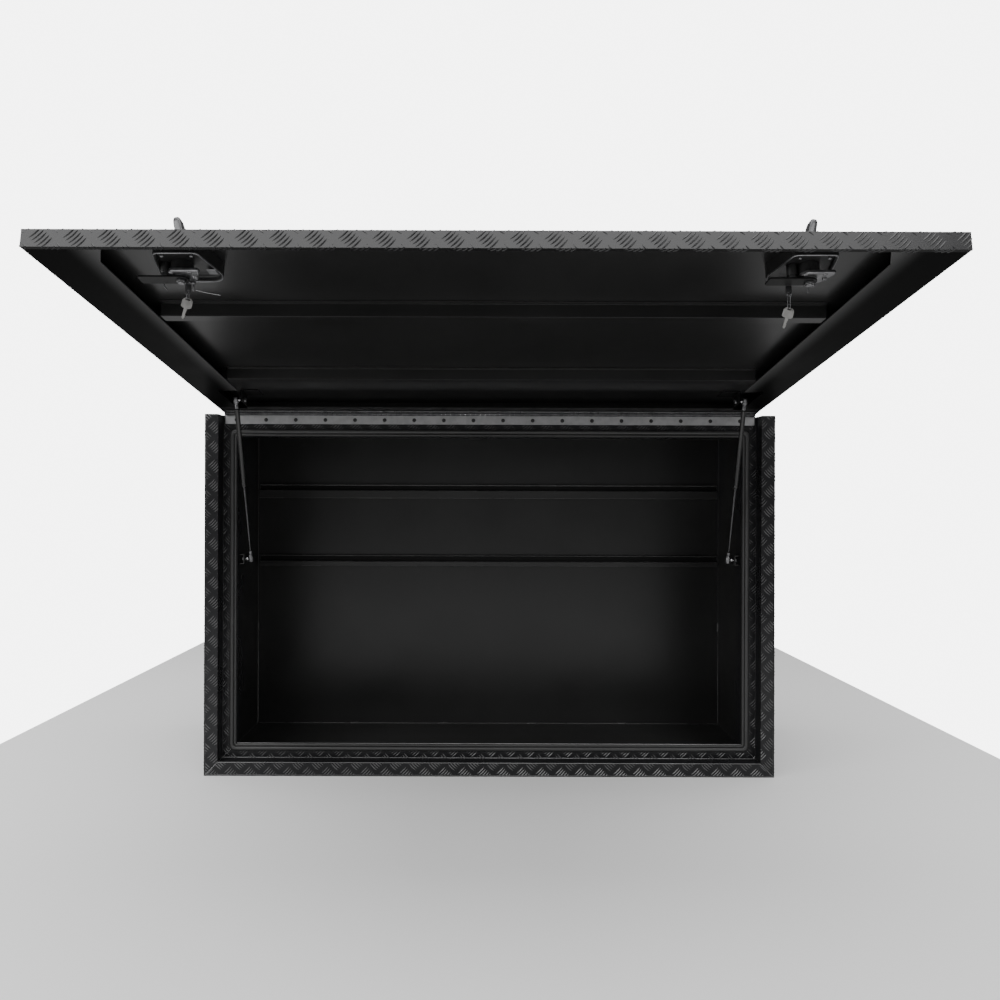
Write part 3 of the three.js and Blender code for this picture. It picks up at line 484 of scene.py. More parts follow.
def facing(x_axis, normal, origin):
    """A place at the origin, with +Z along the normal and +X as near as it can be to the x axis."""
    z_axis = Vector(normal).normalized()
    y_axis = z_axis.cross(Vector(x_axis)).normalized()
    x_axis = y_axis.cross(z_axis)
    place = Matrix((x_axis, y_axis, z_axis)).transposed().to_4x4()
    place.translation = origin
    return place


DOOR = facing((1, 0, 0), DOOR_OUT, PIVOT)
FLOOR_LOW, FLOOR_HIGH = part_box("floor_panel")
SEAL_LOW, SEAL_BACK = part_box("door_seal")
FRONT = FLOOR_LOW.y
REAR = FLOOR_HIGH.y
HALF = FLOOR_HIGH.x
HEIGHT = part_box("top_panel")[1].z
LANDING = SEAL_BACK.y + 0.0003


# ---- Tread plate ----
def fences_of(corners):
    """Half planes (a, b, limit) that hold an anticlockwise outline's inside."""
    fences = []
    for i, corner in enumerate(corners):
        after = corners[(i + 1) % len(corners)]
        out = Vector((after[1] - corner[1], corner[0] - after[0])).normalized()
        fences.append((out.x, out.y, out.x * corner[0] + out.y * corner[1]))
    return fences


def bar_centres(corners):
    """Centre and direction of each raised bar that may touch an outline."""
    across = [corner[0] for corner in corners]
    upward = [corner[1] for corner in corners]
    bars = []
    for turn in (0, 1):
        along = np.array((sqrt(0.5), sqrt(0.5) * (1 - 2 * turn)))
        beside = np.array((-along[1], along[0]))
        first = np.floor(np.array((min(across), min(upward))) / GROUP_PITCH).astype(int) - 1
        last = np.ceil(np.array((max(across), max(upward))) / GROUP_PITCH).astype(int) + 1
        for i in range(first[0], last[0] + 1):
            for j in range(first[1], last[1] + 1):
                centre = (np.array((i, j)) + 0.5 * turn) * GROUP_PITCH
                for k in range(BARS_IN_GROUP):
                    middle = centre + beside * (k - (BARS_IN_GROUP - 1) / 2) * BAR_PITCH
                    bars.append((middle, along, beside))
    return bars


def clipped_span(middle, along, fences):
    """The part of a bar's length that lies within the fences."""
    low, high = -BAR_LENGTH / 2, BAR_LENGTH / 2
    for a, b, limit in fences:
        rate = a * along[0] + b * along[1]
        room = limit - (a * middle[0] + b * middle[1])
        if abs(rate) < 1e-9:
            low = high if room < 0 else low
        elif rate > 0:
            high = min(high, room / rate)
        else:
            low = max(low, room / rate)
    return low, high


def bar_section(centre, beside, width, height, fences):
    """Both feet and the crown of a bar at one station, held within the fences."""
    section = []
    for offset, rise in ((-width, -BAR_ROOT), (0.0, height), (width, -BAR_ROOT)):
        point = centre + beside * offset
        for a, b, limit in fences:
            over = a * point[0] + b * point[1] - limit
            if over > 0:
                point = point - np.array((a, b)) * over
        section.append((point[0], point[1], rise))
    return section


def bar_faces(base, stations):
    """Faces of a closed bar whose sections have three points each."""
    faces = []
    for here in range(base, base + 3 * (stations - 1), 3):
        for corners in ((0, 1, 4, 3), (1, 2, 5, 4), (0, 3, 5, 2)):
            faces.append(tuple(here + corner for corner in corners))
    last = base + 3 * (stations - 1)
    faces.append((base, base + 2, base + 1))
    faces.append((last, last + 1, last + 2))
    return faces


def tread_patch(corners, stations=4, keep_out=()):
    """Bars within an anticlockwise outline, cut off at its edges: points (s, t, height) and faces."""
    fences = fences_of(corners)
    half = BAR_LENGTH / 2
    points = []
    faces = []
    for middle, along, beside in bar_centres(corners):
        low, high = clipped_span(middle, along, fences)
        if high - low < BAR_SHORTEST or any(inside(middle, outline) for outline in keep_out):
            continue
        faces.extend(bar_faces(len(points), stations))
        for i in range(stations):
            t = low + (high - low) * i / (stations - 1)
            fullness = max(0.0, 1 - (t / half) ** 2)
            width = BAR_WIDTH / 2 * (0.12 + 0.88 * fullness ** 0.5)
            height = BAR_HEIGHT * (0.15 + 0.85 * fullness ** 0.6)
            centre = middle + along * t + beside * BAR_BOW * fullness
            points.extend(bar_section(centre, beside, width, height, fences))
    return points, faces


def inside(point, outline):
    """Whether a point lies in a convex outline."""
    return all(a * point[0] + b * point[1] < limit for a, b, limit in fences_of(outline))


def phased(place, outline, phase):
    """The same outline on the same plane, with its tread pattern shifted by phase."""
    across, upward = phase
    moved = [(s - across, t - upward) for s, t in outline]
    return place @ Matrix.Translation((across, upward, 0)), moved


def rectangle(s0, s1, t0, t1):
    """The corners of an upright rectangle, anticlockwise."""
    return [(s0, t0), (s1, t0), (s1, t1), (s0, t1)]


def add_tread(name, patches, body, material):
    """One piece of raised bars. A patch is (place, outline, stations, keep_out), +Z out of the sheet."""
    points = []
    faces = []
    for place, outline, *options in patches:
        patch_points, patch_faces = tread_patch(outline, *options)
        first = len(points)
        points.extend(place @ Vector(point) for point in patch_points)
        faces.extend(tuple(first + k for k in face) for face in patch_faces)
    link_piece(name, new_mesh(name, points, faces, material), body, 70)


def add_front_tread(name, y, outlines, phases):
    """Bars on sheets that face the front at a depth y, lighter in colour as painted glints."""
    plane = facing((1, 0, 0), (0, -1, 0), (0, y, 0))
    patches = [(*phased(plane, outline, phase), FINE_STATIONS) for outline, phase in zip(outlines, phases)]
    add_tread(name, patches, "box", TREAD_PAINTED_GLINT)


def add_frame_tread():
    """Bars on the mitred flanges around the door, and on the landing between the step and the seal."""
    inner = HALF - FLANGE
    outer = HALF - SHELL
    top = HEIGHT - SHELL
    left = [(-outer, SHELL), (-inner, FLANGE), (-inner, top), (-outer, top)]
    right = [(outer, SHELL), (outer, top), (inner, top), (inner, FLANGE)]
    bottom = [(-outer, SHELL), (outer, SHELL), (inner, FLANGE), (-inner, FLANGE)]
    add_front_tread("tread_front_flanges", FRONT, (left, right, bottom), FLANGE_PHASES)
    seal = OPENING_HALF + SEAL_INSET + SEAL_WIDTH
    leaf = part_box("hinge_fixed_leaf")[0].z
    left = rectangle(-inner, -seal, FLANGE, leaf)
    right = rectangle(seal, inner, FLANGE, leaf)
    below = rectangle(-seal, seal, FLANGE, SEAL_LOW.z)
    above = rectangle(-seal, seal, SEAL_BACK.z, leaf)
    add_front_tread("tread_landing", LANDING, (left, right, below, above), LANDING_PHASES)


def add_shell_tread():
    """Bars on the sides, the back and the top, lighter in colour as painted glints."""
    edge = HALF - SHELL
    left = (facing((0, -1, 0), (-1, 0, 0), (-HALF, 0, 0)), rectangle(-REAR, -FRONT, 0, HEIGHT))
    right = (facing((0, 1, 0), (1, 0, 0), (HALF, 0, 0)), rectangle(FRONT, REAR, 0, HEIGHT))
    back = (facing((-1, 0, 0), (0, 1, 0), (0, REAR, 0)), rectangle(-edge, edge, SHELL, HEIGHT))
    top = (facing((1, 0, 0), (0, 0, 1), (0, 0, HEIGHT)), rectangle(-edge, edge, LANDING, REAR))
    add_tread("tread_sides", [left, right], "box", TREAD_PAINTED_GLINT)
    add_tread("tread_back", [back], "box", TREAD_PAINTED_GLINT)
    add_tread("tread_top", [top], "box", TREAD_PAINTED_GLINT)


def pan_outline(side, grow):
    """The pan's outline in the door's plane, centred on the hub, anticlockwise."""
    narrow = PAN_NARROW + grow
    wide = PAN_WIDE + grow
    free = -PAN_FREE - grow
    back = PAN_BACK + grow
    half = curve((narrow - PAN_CORNER, free), (narrow, free), (narrow + 0.001, free + PAN_CORNER), 5)
    half += curve((wide, PAN_SHOULDER), (wide, back), (PAN_BOTTOM_HALF, back), 10)
    outline = half + [(-x, y) for x, y in reversed(half)]
    return [(x - side * PAN_SHIFT, y) for x, y in outline]


def pan_outlines_on_door():
    """Where each pan and its surround lie on the door's skin."""
    outlines = []
    for tag, side in SIDES:
        hub = DOOR.inverted() @ joint_place(f"latch_turn_{tag}")
        outlines.append([(x + hub.x, y + hub.y) for x, y in pan_outline(side, PAN_SURROUND)])
    return outlines


def add_door_tread():
    """Bars on the door's skin, its four lips and the hem that folds under the free edge."""
    skin = DOOR @ Matrix.Translation((0, 0, SKIN_TOP))
    free = DOOR @ facing((1, 0, 0), (0, -1, 0), (LIP_PHASE, -DOOR_END, LIP_MIDDLE))
    hinge = DOOR @ facing((-1, 0, 0), (0, 1, 0), (0, -DOOR_START, 0))
    left = DOOR @ facing((0, -1, 0), (-1, 0, 0), (-DOOR_HALF, 0, 0))
    right = DOOR @ facing((0, 1, 0), (1, 0, 0), (DOOR_HALF, 0, 0))
    hem = DOOR @ facing((1, 0, 0), (0, 0, -1), (0, -DOOR_END, LIP_LOW))
    whole = rectangle(-DOOR_HALF, DOOR_HALF, -DOOR_END, -DOOR_START)
    add_tread("tread_door_skin", [(skin, whole, 4, pan_outlines_on_door())], "door", BLACK)
    free_lip = rectangle(-DOOR_HALF - LIP_PHASE, DOOR_HALF - LIP_PHASE, LIP_LOW - LIP_MIDDLE,
                         SKIN_TOP - LIP_MIDDLE)
    add_tread("tread_door_lips", [
        (free, free_lip, LIP_STATIONS),
        (hinge, rectangle(-DOOR_HALF, DOOR_HALF, LIP_LOW, SKIN_TOP)),
        (left, rectangle(DOOR_START, DOOR_END, LIP_LOW, SKIN_TOP)),
        (right, rectangle(-DOOR_END, -DOOR_START, LIP_LOW, SKIN_TOP)),
        (hem, rectangle(-DOOR_HALF, DOOR_HALF, -DOOR_HEM, 0)),
    ], "door", BLACK)


# ---- Sheet metal of the CAD model ----
def soften(name, material, width, smooth=0.0):
    """Gives a CAD node its coat and a small radius on its edges, and shades it smooth up to an angle."""
    node = frame["nodes"][name]
    node.data.materials.clear()
    node.data.materials.append(material)
    if "custom_normal" in node.data.attributes:
        node.data.attributes.remove(node.data.attributes["custom_normal"])
    if smooth:
        node.data.shade_smooth()
        node.data.set_sharp_from_angle(angle=radians(smooth))
    else:
        node.data.shade_flat()
    weld = node.modifiers.new("weld", "WELD")
    weld.merge_threshold = 1e-6
    bevel = node.modifiers.new("edge", "BEVEL")
    bevel.width = width
    bevel.segments = FOLD_SEGMENTS
    bevel.limit_method = "ANGLE"
    bevel.angle_limit = FOLD_ANGLE
    bevel.harden_normals = smooth > 0
    return node, bevel


def coat_sheets():
    """Coats the sheets of the box and the door."""
    coats = (
        (FRAME, 0.0012, ("frame_left", "frame_right", "frame_top")),
        (WALL, 0.0008, ("left_side_panel", "right_side_panel", "top_panel", "back_panel")),
        (INNER, 0.0006, ("door_stiffener_upper", "door_stiffener_lower")),
        (BLACK, 0.0009, ("door_skin",)),
        (FLOOR_COAT, 0.0006, ("floor_panel",)),
    )
    for material, width, names in coats:
        for name in names:
            soften(name, material, width)
    for tag, side in SIDES:
        low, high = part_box(f"door_channel_{tag}")
        outer, inner = (low.x, high.x) if side < 0 else (high.x, low.x)
        # Each channel gets a painted reflection, lighter towards its inner edge.
        soften(f"door_channel_{tag}", channel_painted_reflection_coat(f"channel_coat_{tag}", outer, inner), 0.0006)
    node, bevel = soften("frame_bottom", FRAME, 0.0008)
    bevel.use_clamp_overlap = False
    # The bevel's faces get the light coat: a painted highlight along the bottom member's edges.
    node.data.materials.append(EDGE_PAINTED_HIGHLIGHT)
    bevel.material = 1


def coat_fittings():
    """Coats the small CAD nodes that stay visible."""
    soften("hinge_pin", BRIGHT, 0.0003, 35.0)
    for tag, _ in SIDES:
        soften(f"strut_lower_bracket_{tag}", BLACK_STEEL, 0.0008)
        soften(f"strut_upper_bracket_{tag}", CAM_STEEL, 0.0008)
        for kind in ("strut_lower_nut", "strut_upper_nut", "latch_cam_nut"):
            soften(f"{kind}_{tag}", ZINC, 0.0005)
        soften(f"latch_fold_pin_{tag}", BRIGHT, 0.0003, 35.0)
        soften(f"latch_hub_{tag}", ZINC, 0.0005, 35.0)


def line_door():
    """Gives the inner faces of the door's tray the inner coat, and its hem's underside the dull one."""
    mesh = frame["nodes"]["door_skin"].data
    mesh.materials.append(INNER)
    mesh.materials.append(PAINTED_SHADE_AND_DULL_COAT)
    to_door = DOOR.inverted()
    turn = to_door.to_3x3()
    middle = Vector((0, -(DOOR_START + DOOR_END) / 2, SKIN_TOP))
    for face in mesh.polygons:
        normal = turn @ face.normal
        centre = to_door @ face.center
        if normal.z < -0.5 or (abs(normal.z) < 0.5 and normal.dot(middle - centre) > 0):
            face.material_index = 1
        if normal.z < -0.5 and centre.z < SKIN_TOP / 2:
            face.material_index = 2


def line_rails():
    """Gives the rails on the back wall painted highlights on their bevelled edges, and painted shade in
    their groove as a darker, duller coat.
    """
    for name in ("upper_back_rail", "lower_back_rail"):
        node, bevel = soften(name, RAIL, 0.001)
        mesh = node.data
        # Painted shade on the groove's faces, and a painted highlight on the bevel's faces.
        mesh.materials.append(PAINTED_SHADE_AND_DULL_COAT)
        mesh.materials.append(RAIL_EDGE_PAINTED_HIGHLIGHT)
        bevel.material = 2
        low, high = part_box(name)
        for face in mesh.polygons:
            deep = face.center.y > high.y - 2 * SHEET
            upper = face.center.z > (low.z + high.z) / 2
            if face.normal.y < -0.5 and deep and upper:
                face.material_index = 1


# ---- Weld beads ----
def bead(solid, start, end, radius, ripple=0.006):
    """A rippled fillet of weld from start to end."""
    start = Vector(start)
    along = Vector(end) - start
    count = max(4, int(along.length / ripple) * 2)
    across = along.orthogonal().normalized()
    beside = along.cross(across).normalized()
    rings = []
    for i in range(count + 1):
        size = radius * (0.55 if i in (0, count) else 1.0 + 0.1 * (-1) ** i)
        middle = start + along * (i / count)
        rings.append([middle + a * across + b * beside for a, b in circle(size, 8)])
    solid.loft(rings)


def add_welds():
    """Beads along the inner seams, one in each rear corner, and stitches along the back of the floor."""
    x = HALF - SHEET
    y = REAR - SHEET
    front = LANDING + 0.02
    solid = Solid()
    for z in (SHEET, HEIGHT - SHEET):
        bead(solid, (-x, y, z), (x, y, z), SEAM_BEAD)
        for side in (-1, 1):
            bead(solid, (side * x, front, z), (side * x, y, z), DEPTH_BEAD)
    low, high = CORNER_STITCH
    for side in (-1, 1):
        bead(solid, (side * x, y, low), (side * x, y, high), CORNER_BEAD)
    for i in range(STITCHES):
        middle = (i - (STITCHES - 1) / 2) * STITCH_PITCH
        bead(solid, (middle - STITCH_HALF, y, SHEET), (middle + STITCH_HALF, y, SHEET), STITCH_BEAD)
    add_piece("inner_weld_beads", solid, WELD, "box", smooth=60)


# ---- Seal ----
def loop_around(offset, depth):
    """A rounded rectangle around the opening, offset outwards, at a depth in front of the landing."""
    low = SEAL_LOW.z + SEAL_WIDTH - offset
    high = SEAL_BACK.z - SEAL_WIDTH + offset
    half = OPENING_HALF + SEAL_INSET + offset
    radius = 0.004 + 0.6 * offset
    outline = rounded([(-half, low), (half, low), (half, high), (-half, high)], radius, 6)
    return [(x, LANDING - depth, z) for x, z in outline]


def add_seal():
    """A narrow inner and a wide outer ridge on a flat foot, with a shallow gutter between them."""
    inner, outer = SEAL_RIDGES
    ridges = ((inner, inner, SEAL_HEIGHT - INNER_RIDGE_DROP), (SEAL_WIDTH - outer, outer, SEAL_HEIGHT))
    section = [(0.0, 0.0005)]
    for centre, half, height in ridges:
        for k in range(9):
            angle = pi * (1 - k / 8)
            depth = SEAL_FOOT + (height - SEAL_FOOT) * sin(angle) ** 0.8
            section.append((centre + half * cos(angle), depth))
    section.append((SEAL_WIDTH, 0.0005))
    solid = Solid()
    solid.loft([loop_around(offset, depth) for offset, depth in section], closed=True)
    add_piece("seal_profile", solid, RUBBER, "box", smooth=60, replaces="door_seal")


# ---- Hinge ----
def knuckle_run(first):
    """Every second knuckle, as a short tube with chamfered ends around the pin."""
    low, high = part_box("hinge_pin")
    pitch = (high.x - low.x) / KNUCKLES
    width = pitch - KNUCKLE_GAP
    shoulder = BARREL_R - KNUCKLE_CHAMFER
    profile = [(KNUCKLE_BORE_R, 0), (shoulder, 0), (BARREL_R, KNUCKLE_CHAMFER),
               (BARREL_R, width - KNUCKLE_CHAMFER), (shoulder, width), (KNUCKLE_BORE_R, width)]
    solid = Solid()
    for i in range(first, KNUCKLES, 2):
        start = low.x + i * pitch + KNUCKLE_GAP / 2
        solid.lathe(profile, facing((0, 1, 0), (1, 0, 0), (start, PIVOT.y, PIVOT.z)), 18, closed=True)
    return solid


def add_hinge():
    """A leaf and every second knuckle on the box, and the same on the door."""
    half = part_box("hinge_pin")[1].x
    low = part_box("hinge_fixed_leaf")[0]
    back = LANDING - 0.0003
    fixed = Solid()
    fixed.box((-half, back - LEAF_THICK, low.z), (half, back, PIVOT.z - 0.002), edge=0.0004)
    add_piece("hinge_leaf_on_box", fixed, MILL, "box", replaces="hinge_fixed_leaf")
    add_piece("hinge_knuckles_on_box", knuckle_run(0), KNUCKLE, "box")
    door = Solid()
    top = LIP_LOW - 0.0003
    door.box((-half, -0.026, top - LEAF_THICK), (half, -0.004, top), DOOR, edge=0.0004)
    add_piece("hinge_leaf_on_door", door, BLACK, "door", replaces="hinge_door_leaf")
    add_piece("hinge_knuckles_on_door", knuckle_run(1), KNUCKLE, "door")
    screws = Solid()
    middle = (low.z + PIVOT.z - BARREL_R) / 2
    for i in range(LEAF_SCREWS):
        x = (i - (LEAF_SCREWS - 1) / 2) * LEAF_SCREW_PITCH + LEAF_SCREW_SHIFT
        screw_head(screws, facing((1, 0, 0), (0, -1, 0), (x, back - 0.0015, middle)), 0.005, 0.0018)
    add_piece("hinge_leaf_screws", screws, BLACK_STEEL, "box")


def screw_head(solid, place, radius, height):
    """A low domed head with a round socket."""
    socket = radius * 0.45
    profile = [(radius * 0.96, -0.0002), (radius, height * 0.3), (radius * 0.86, height * 0.75),
               (socket + 0.0004, height), (socket, height * 0.94), (socket, height * 0.35)]
    solid.lathe(profile, place, 18)


# ---- Gas struts ----
def strut_place(tag):
    """A place with +Z along the strut from its lower ball, and the length between the balls."""
    pivot = joint_place(f"strut_pivot_{tag}")
    low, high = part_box(f"strut_upper_stud_{tag}")
    top = Vector((pivot.x, (low.y + high.y) / 2, (low.z + high.z) / 2))
    return facing((1, 0, 0), top - pivot, pivot), (top - pivot).length


def add_socket(name, node, place, body):
    """A ball socket: a rounded body over the ball, a neck, and a spring clip round its mouth."""
    solid = Solid()
    profile = mm((3.5, -7.8), (5.8, -7.2), (6.6, -5.5), (6.6, 6.2), (6, 7.8), (4.6, 9.6), (4.2, 11),
                 (4.2, 12.8), (4.8, 13.8), (4.8, 21.8), (4, 22.1))
    solid.lathe(profile, place, 28)
    clip = []
    for k in range(17):
        angle = radians(-130 + 260 * k / 16)
        clip.append(place @ Vector((0.0071 * sin(angle), 0.0071 * cos(angle), 0.003)))
    solid.tube(clip, 0.0006, 8)
    add_piece(name, solid, ZINC, body, replaces=node)


def add_stud(name, node, place, side, reach, body):
    """Ball, neck, shoulder and threaded shank, towards side."""
    turn = place @ facing((0, 1, 0), (side, 0, 0), (0, 0, 0))
    profile = []
    for k in range(1, 11):
        angle = pi * k / 13
        profile.append((BALL_R * sin(angle), -BALL_R * cos(angle)))
    profile += mm((2.6, 5), (2.6, 7.2), (4.6, 7.4), (4.6, 10), (3, 10.2))
    thread = 0.0102
    while thread < reach - 0.0012:
        profile += [(0.003, thread + 0.0003), (0.0027, thread + 0.0007), (0.003, thread + THREAD_PITCH)]
        thread += THREAD_PITCH
    profile.append((0.0022, reach))
    add_piece(name, Solid().lathe(profile, turn, 20), BRIGHT, body, replaces=node)


def add_tube_and_rod(tag, place, length):
    """The painted tube with its rolled lower end, and the rod that runs into it."""
    top = length - SOCKET_REACH - 0.0001
    low = top - TUBE_LENGTH
    roll = TUBE_R - 0.0003
    tube = [(0.0034, low), (0.005, low + 0.0004), (TUBE_R, low + 0.0018), (TUBE_R, low + 0.0068),
            (roll, low + 0.0076), (roll, low + 0.0092), (TUBE_R, low + 0.01), (TUBE_R, top - 0.002),
            (0.0046, top - 0.0004), (0.0034, top)]
    add_piece(f"strut_cylinder_{tag}", Solid().lathe(tube, place), STRUT_BLACK, f"strut_tube_{tag}",
              replaces=f"strut_tube_{tag}")
    rod = [(0.0024, SOCKET_REACH), (ROD_R, SOCKET_REACH + 0.0004), (ROD_R, low + 0.02),
           (0.0022, low + 0.0206)]
    add_piece(f"strut_piston_rod_{tag}", Solid().lathe(rod, place, 24), ROD, f"strut_rod_{tag}",
              replaces=f"strut_rod_{tag}")


def add_struts():
    """Both struts, each with its sockets, ball studs, tube and rod."""
    for tag, side in SIDES:
        place, length = strut_place(tag)
        upper = place @ Matrix.Translation((0, 0, length))
        flipped = upper @ Matrix.Rotation(pi, 4, "X")
        rod = f"strut_rod_{tag}"
        tube = f"strut_tube_{tag}"
        add_socket(f"strut_rod_socket_{tag}", f"strut_lower_socket_{tag}", place, rod)
        add_socket(f"strut_tube_socket_{tag}", f"strut_upper_socket_{tag}", flipped, tube)
        add_stud(f"strut_rod_ball_{tag}", f"strut_lower_stud_{tag}", place, side, 0.0225, "box")
        add_stud(f"strut_tube_ball_{tag}", f"strut_upper_stud_{tag}", upper, -side, 0.0177, tube)
        add_tube_and_rod(tag, place, length)


# ---- Latches, around the hub's axis at the level of the door's pivot ----
def latch_place(tag):
    """The door's axes, moved to the hub's axis."""
    place = DOOR.copy()
    place.translation = joint_place(f"latch_turn_{tag}")
    return place


def add_pan(tag, side):
    """A pressed cup with a flat brim outside, a rolled skirt behind and a worn rim."""
    levels = mm((6, 29.3), (6, 29.9), (5.2, 30.5), (0.6, 30.5), (-0.8, 29.6), (-2, 15.5), (-4.5, 14),
                (-18, 13.8), (-18, 12.2), (-4, 12.2), (-2.6, 11.2), (-1.8, 6.2), (-0.8, 5.6), (0.8, 5.6),
                (1.4, 6.2), (1.4, 20), (1.4, 29.3))
    place = latch_place(tag)
    cup = Solid()
    cup.loft([[(x, y, z) for x, y in pan_outline(side, grow)] for grow, z in levels], closed=True)
    cup.prism(pan_outline(side, -0.017), 0.0124, 0.0136)
    add_piece(f"latch_cup_{tag}", cup, BLACK_STEEL, "door", place,
              replaces=f"latch_pan_{tag}")
    edge = [(x, y, 0.0056) for x, y in pan_outline(side, 0.0004)]
    rim = Solid().tube(edge, 0.0014, 10, closed=True)
    add_piece(f"latch_rim_{tag}", rim, RIM, "door", place)
    posts = Solid()
    for x in (-0.022, 0.022):
        post = Matrix.Translation((x - side * PAN_SHIFT, -0.038, 0))
        posts.lathe(mm((2.6, 12.1), (2.6, 4), (2, 3.2), (0.8, 3)), post, 16)
    add_piece(f"latch_posts_{tag}", posts, ZINC, "door", place)


def case_plate():
    """The cast lock case: a lobed plate with a round boss under the spindle and five small ones."""
    solid = Solid()
    outline = rounded(mm((-17.5, -10), (-10, -21.5), (33, -22.5), (32.5, -14), (23, 8), (11, 22),
                         (-9, 22), (-17.5, 11)), 0.0035, 4)
    levels = mm((-5, 1.2), (-5.8, 0), (-9.2, 0), (-10.6, 1.6))
    solid.loft([[(x, y, z) for x, y in grown(outline, -inset)] for z, inset in levels])
    solid.lathe(mm((11, -10), (11, -11.4), (10, -12.2), (5.5, -12.2)))
    bosses = mm((-10.5, -14, 11.8), (18, -16.5, 12.4), (22, -4, 14), (12, 15, 15), (-10, 15, 11.8))
    for x, y, drop in bosses:
        profile = [(0.0038, -0.01), (0.0036, -drop + 0.001), (0.0028, -drop), (0.0012, -drop),
                   (0.0012, -drop + 0.001)]
        solid.lathe(profile, Matrix.Translation((x, y, 0)), 20)
    return solid


def add_key_tab(solid, x, y, z):
    """The tab with an eye at (x, y, z) that holds the key's loop, and the web that joins it to the case."""
    half = 0.0045
    plate = rounded([(x - half, z - half), (x + half, z - half), (x + half, -0.0104), (x - half, -0.0104)],
                    0.0035, 4)
    eye = matched(circle(0.0026, len(plate), (x, z)), plate)
    edges = ((plate, -0.0008), (plate, 0.0008), (eye, 0.0008), (eye, -0.0008))
    solid.loft([[(a, y + d, b) for a, b in ring] for ring, d in edges], closed=True)
    solid.box((min(x - half, 0), y - 0.004, -0.012), (max(x + half, 0), y + 0.0008, -0.0104), edge=0.0004)


def add_housing(tag):
    """The lock case below a dark drum, with the key's tab and a pin."""
    place = latch_place(tag)
    drum = Solid().lathe([(0.0165, 0.0121), (0.0165, -0.0034), (0.015, -0.0054)], sides=40)
    add_piece(f"latch_drum_{tag}", drum, BLACK_STEEL, "door", place)
    solid = case_plate()
    add_key_tab(solid, *(place.inverted() @ joint_place(f"key_swing_{tag}")))
    pin = Matrix.Translation((CASE_PIN_X[tag], 0.0185, 0))
    solid.lathe([(0.0012, -0.01), (0.0012, -0.0235), (0.0007, -0.0243)], pin, 12)
    add_piece(f"latch_case_{tag}", solid, ZINC, "door", place,
              replaces=f"latch_housing_{tag}")


def add_left_fittings():
    """What only the left latch carries: a bracket with screws, a wire hook and a tie's tail."""
    place = latch_place("L")
    small = Solid()
    for x in (-0.033, -0.026):
        screw_head(small, facing((1, 0, 0), (0, -1, 0), (x, 0.02, -0.006)), 0.0026, 0.0014)
    small.box((-0.036, 0.02, -0.0105), (-0.023, 0.0216, 0.005), edge=0.0004)
    hook = mm((-36, 19.5, -6), (-36, 19, -16), (-28, 19.5, -23))
    small.tube(curve(*hook, 8), 0.0009, 8)
    small.box((0.032, 0.012, 0.0078), (0.046, 0.028, 0.0095), edge=0.0004)
    add_piece("latch_small_fittings", small, ZINC, "door", place)
    tail = Solid().tube(curve(*mm((5, 21.5, -18), (20, 21.5, -24), (53, 22, -29)), 10), 0.0007, 8)
    add_piece("latch_wire_tail", tail, BRIGHT, "door", place)


def handle_place(tag, side):
    """A place on the fold pin with +X along the grip at its rest angle, and +Y across it."""
    joint = JOINTS[f"handle_fold_{tag}"]
    lift = radians(joint["range_deg"][1])
    turn = DOOR.to_3x3()
    along = (turn @ Vector((side * cos(lift), 0, sin(lift)))).normalized()
    across = (turn @ Vector((0, side, 0))).normalized()
    place = Matrix((along, across, along.cross(across))).transposed().to_4x4()
    place.translation = Vector(joint["pos_m"])
    return place


def grip_section(x, half, thick):
    """A rounded rectangle across the grip, at x along it."""
    ring = []
    for k in range(28):
        angle = 2 * pi * k / 28
        c, s = cos(angle), sin(angle)
        ring.append((x, half * copysign(abs(c) ** 0.55, c), thick * copysign(abs(s) ** 0.7, s)))
    return ring


def add_handle(tag, side):
    """A tapering grip with rounded faces, forked around the fold pin."""
    stations = mm((11, 11.8, 7.4), (12.5, 12, 7.4), (19, 11.7, 7.1), (29, 11.2, 6.7), (38, 11.2, 6.4),
                  (43, 10.4, 5.8), (46.5, 8.2, 4.5), (48, 4.5, 2.2))
    solid = Solid().loft([grip_section(*station) for station in stations])
    cheek = [(0.013, 0.007)]
    for k in range(13):
        angle = pi * 1.5 - pi * k / 12
        cheek.append((0.0072 * cos(angle), -0.0072 * sin(angle)))
    cheek.append((0.013, -0.007))
    turn = facing((1, 0, 0), (0, 1, 0), (0, 0, 0))
    for near, far in ((-0.0118, -0.0048), (0.0048, 0.0118)):
        solid.prism(cheek, near, far, turn, 0.0007)
    add_piece(f"latch_grip_{tag}", solid, CHROME, f"latch_handle_{tag}",
              handle_place(tag, side), 40, f"latch_handle_{tag}")


def add_cam(tag):
    """A flat steel cam with a rounded nose, held on the spindle by its nut. It points to -X at rest."""
    half = 0.0119
    outline = rounded([(0.0, -half), (0.064, -half), (0.064, half), (0.0, half)], 0.004, 3)
    nose = [(x, y) for x, y in outline if x > 0.01]
    back = [(half * cos(radians(a)), half * sin(radians(a))) for a in range(90, 271, 15)]
    solid = Solid().prism(nose + back, -0.0155, -0.0125, Matrix.Rotation(pi, 4, "Z"), 0.0005)
    add_piece(f"latch_hook_{tag}", solid, CAM_STEEL, f"latch_hub_{tag}", latch_place(tag),
              replaces=f"latch_cam_{tag}")


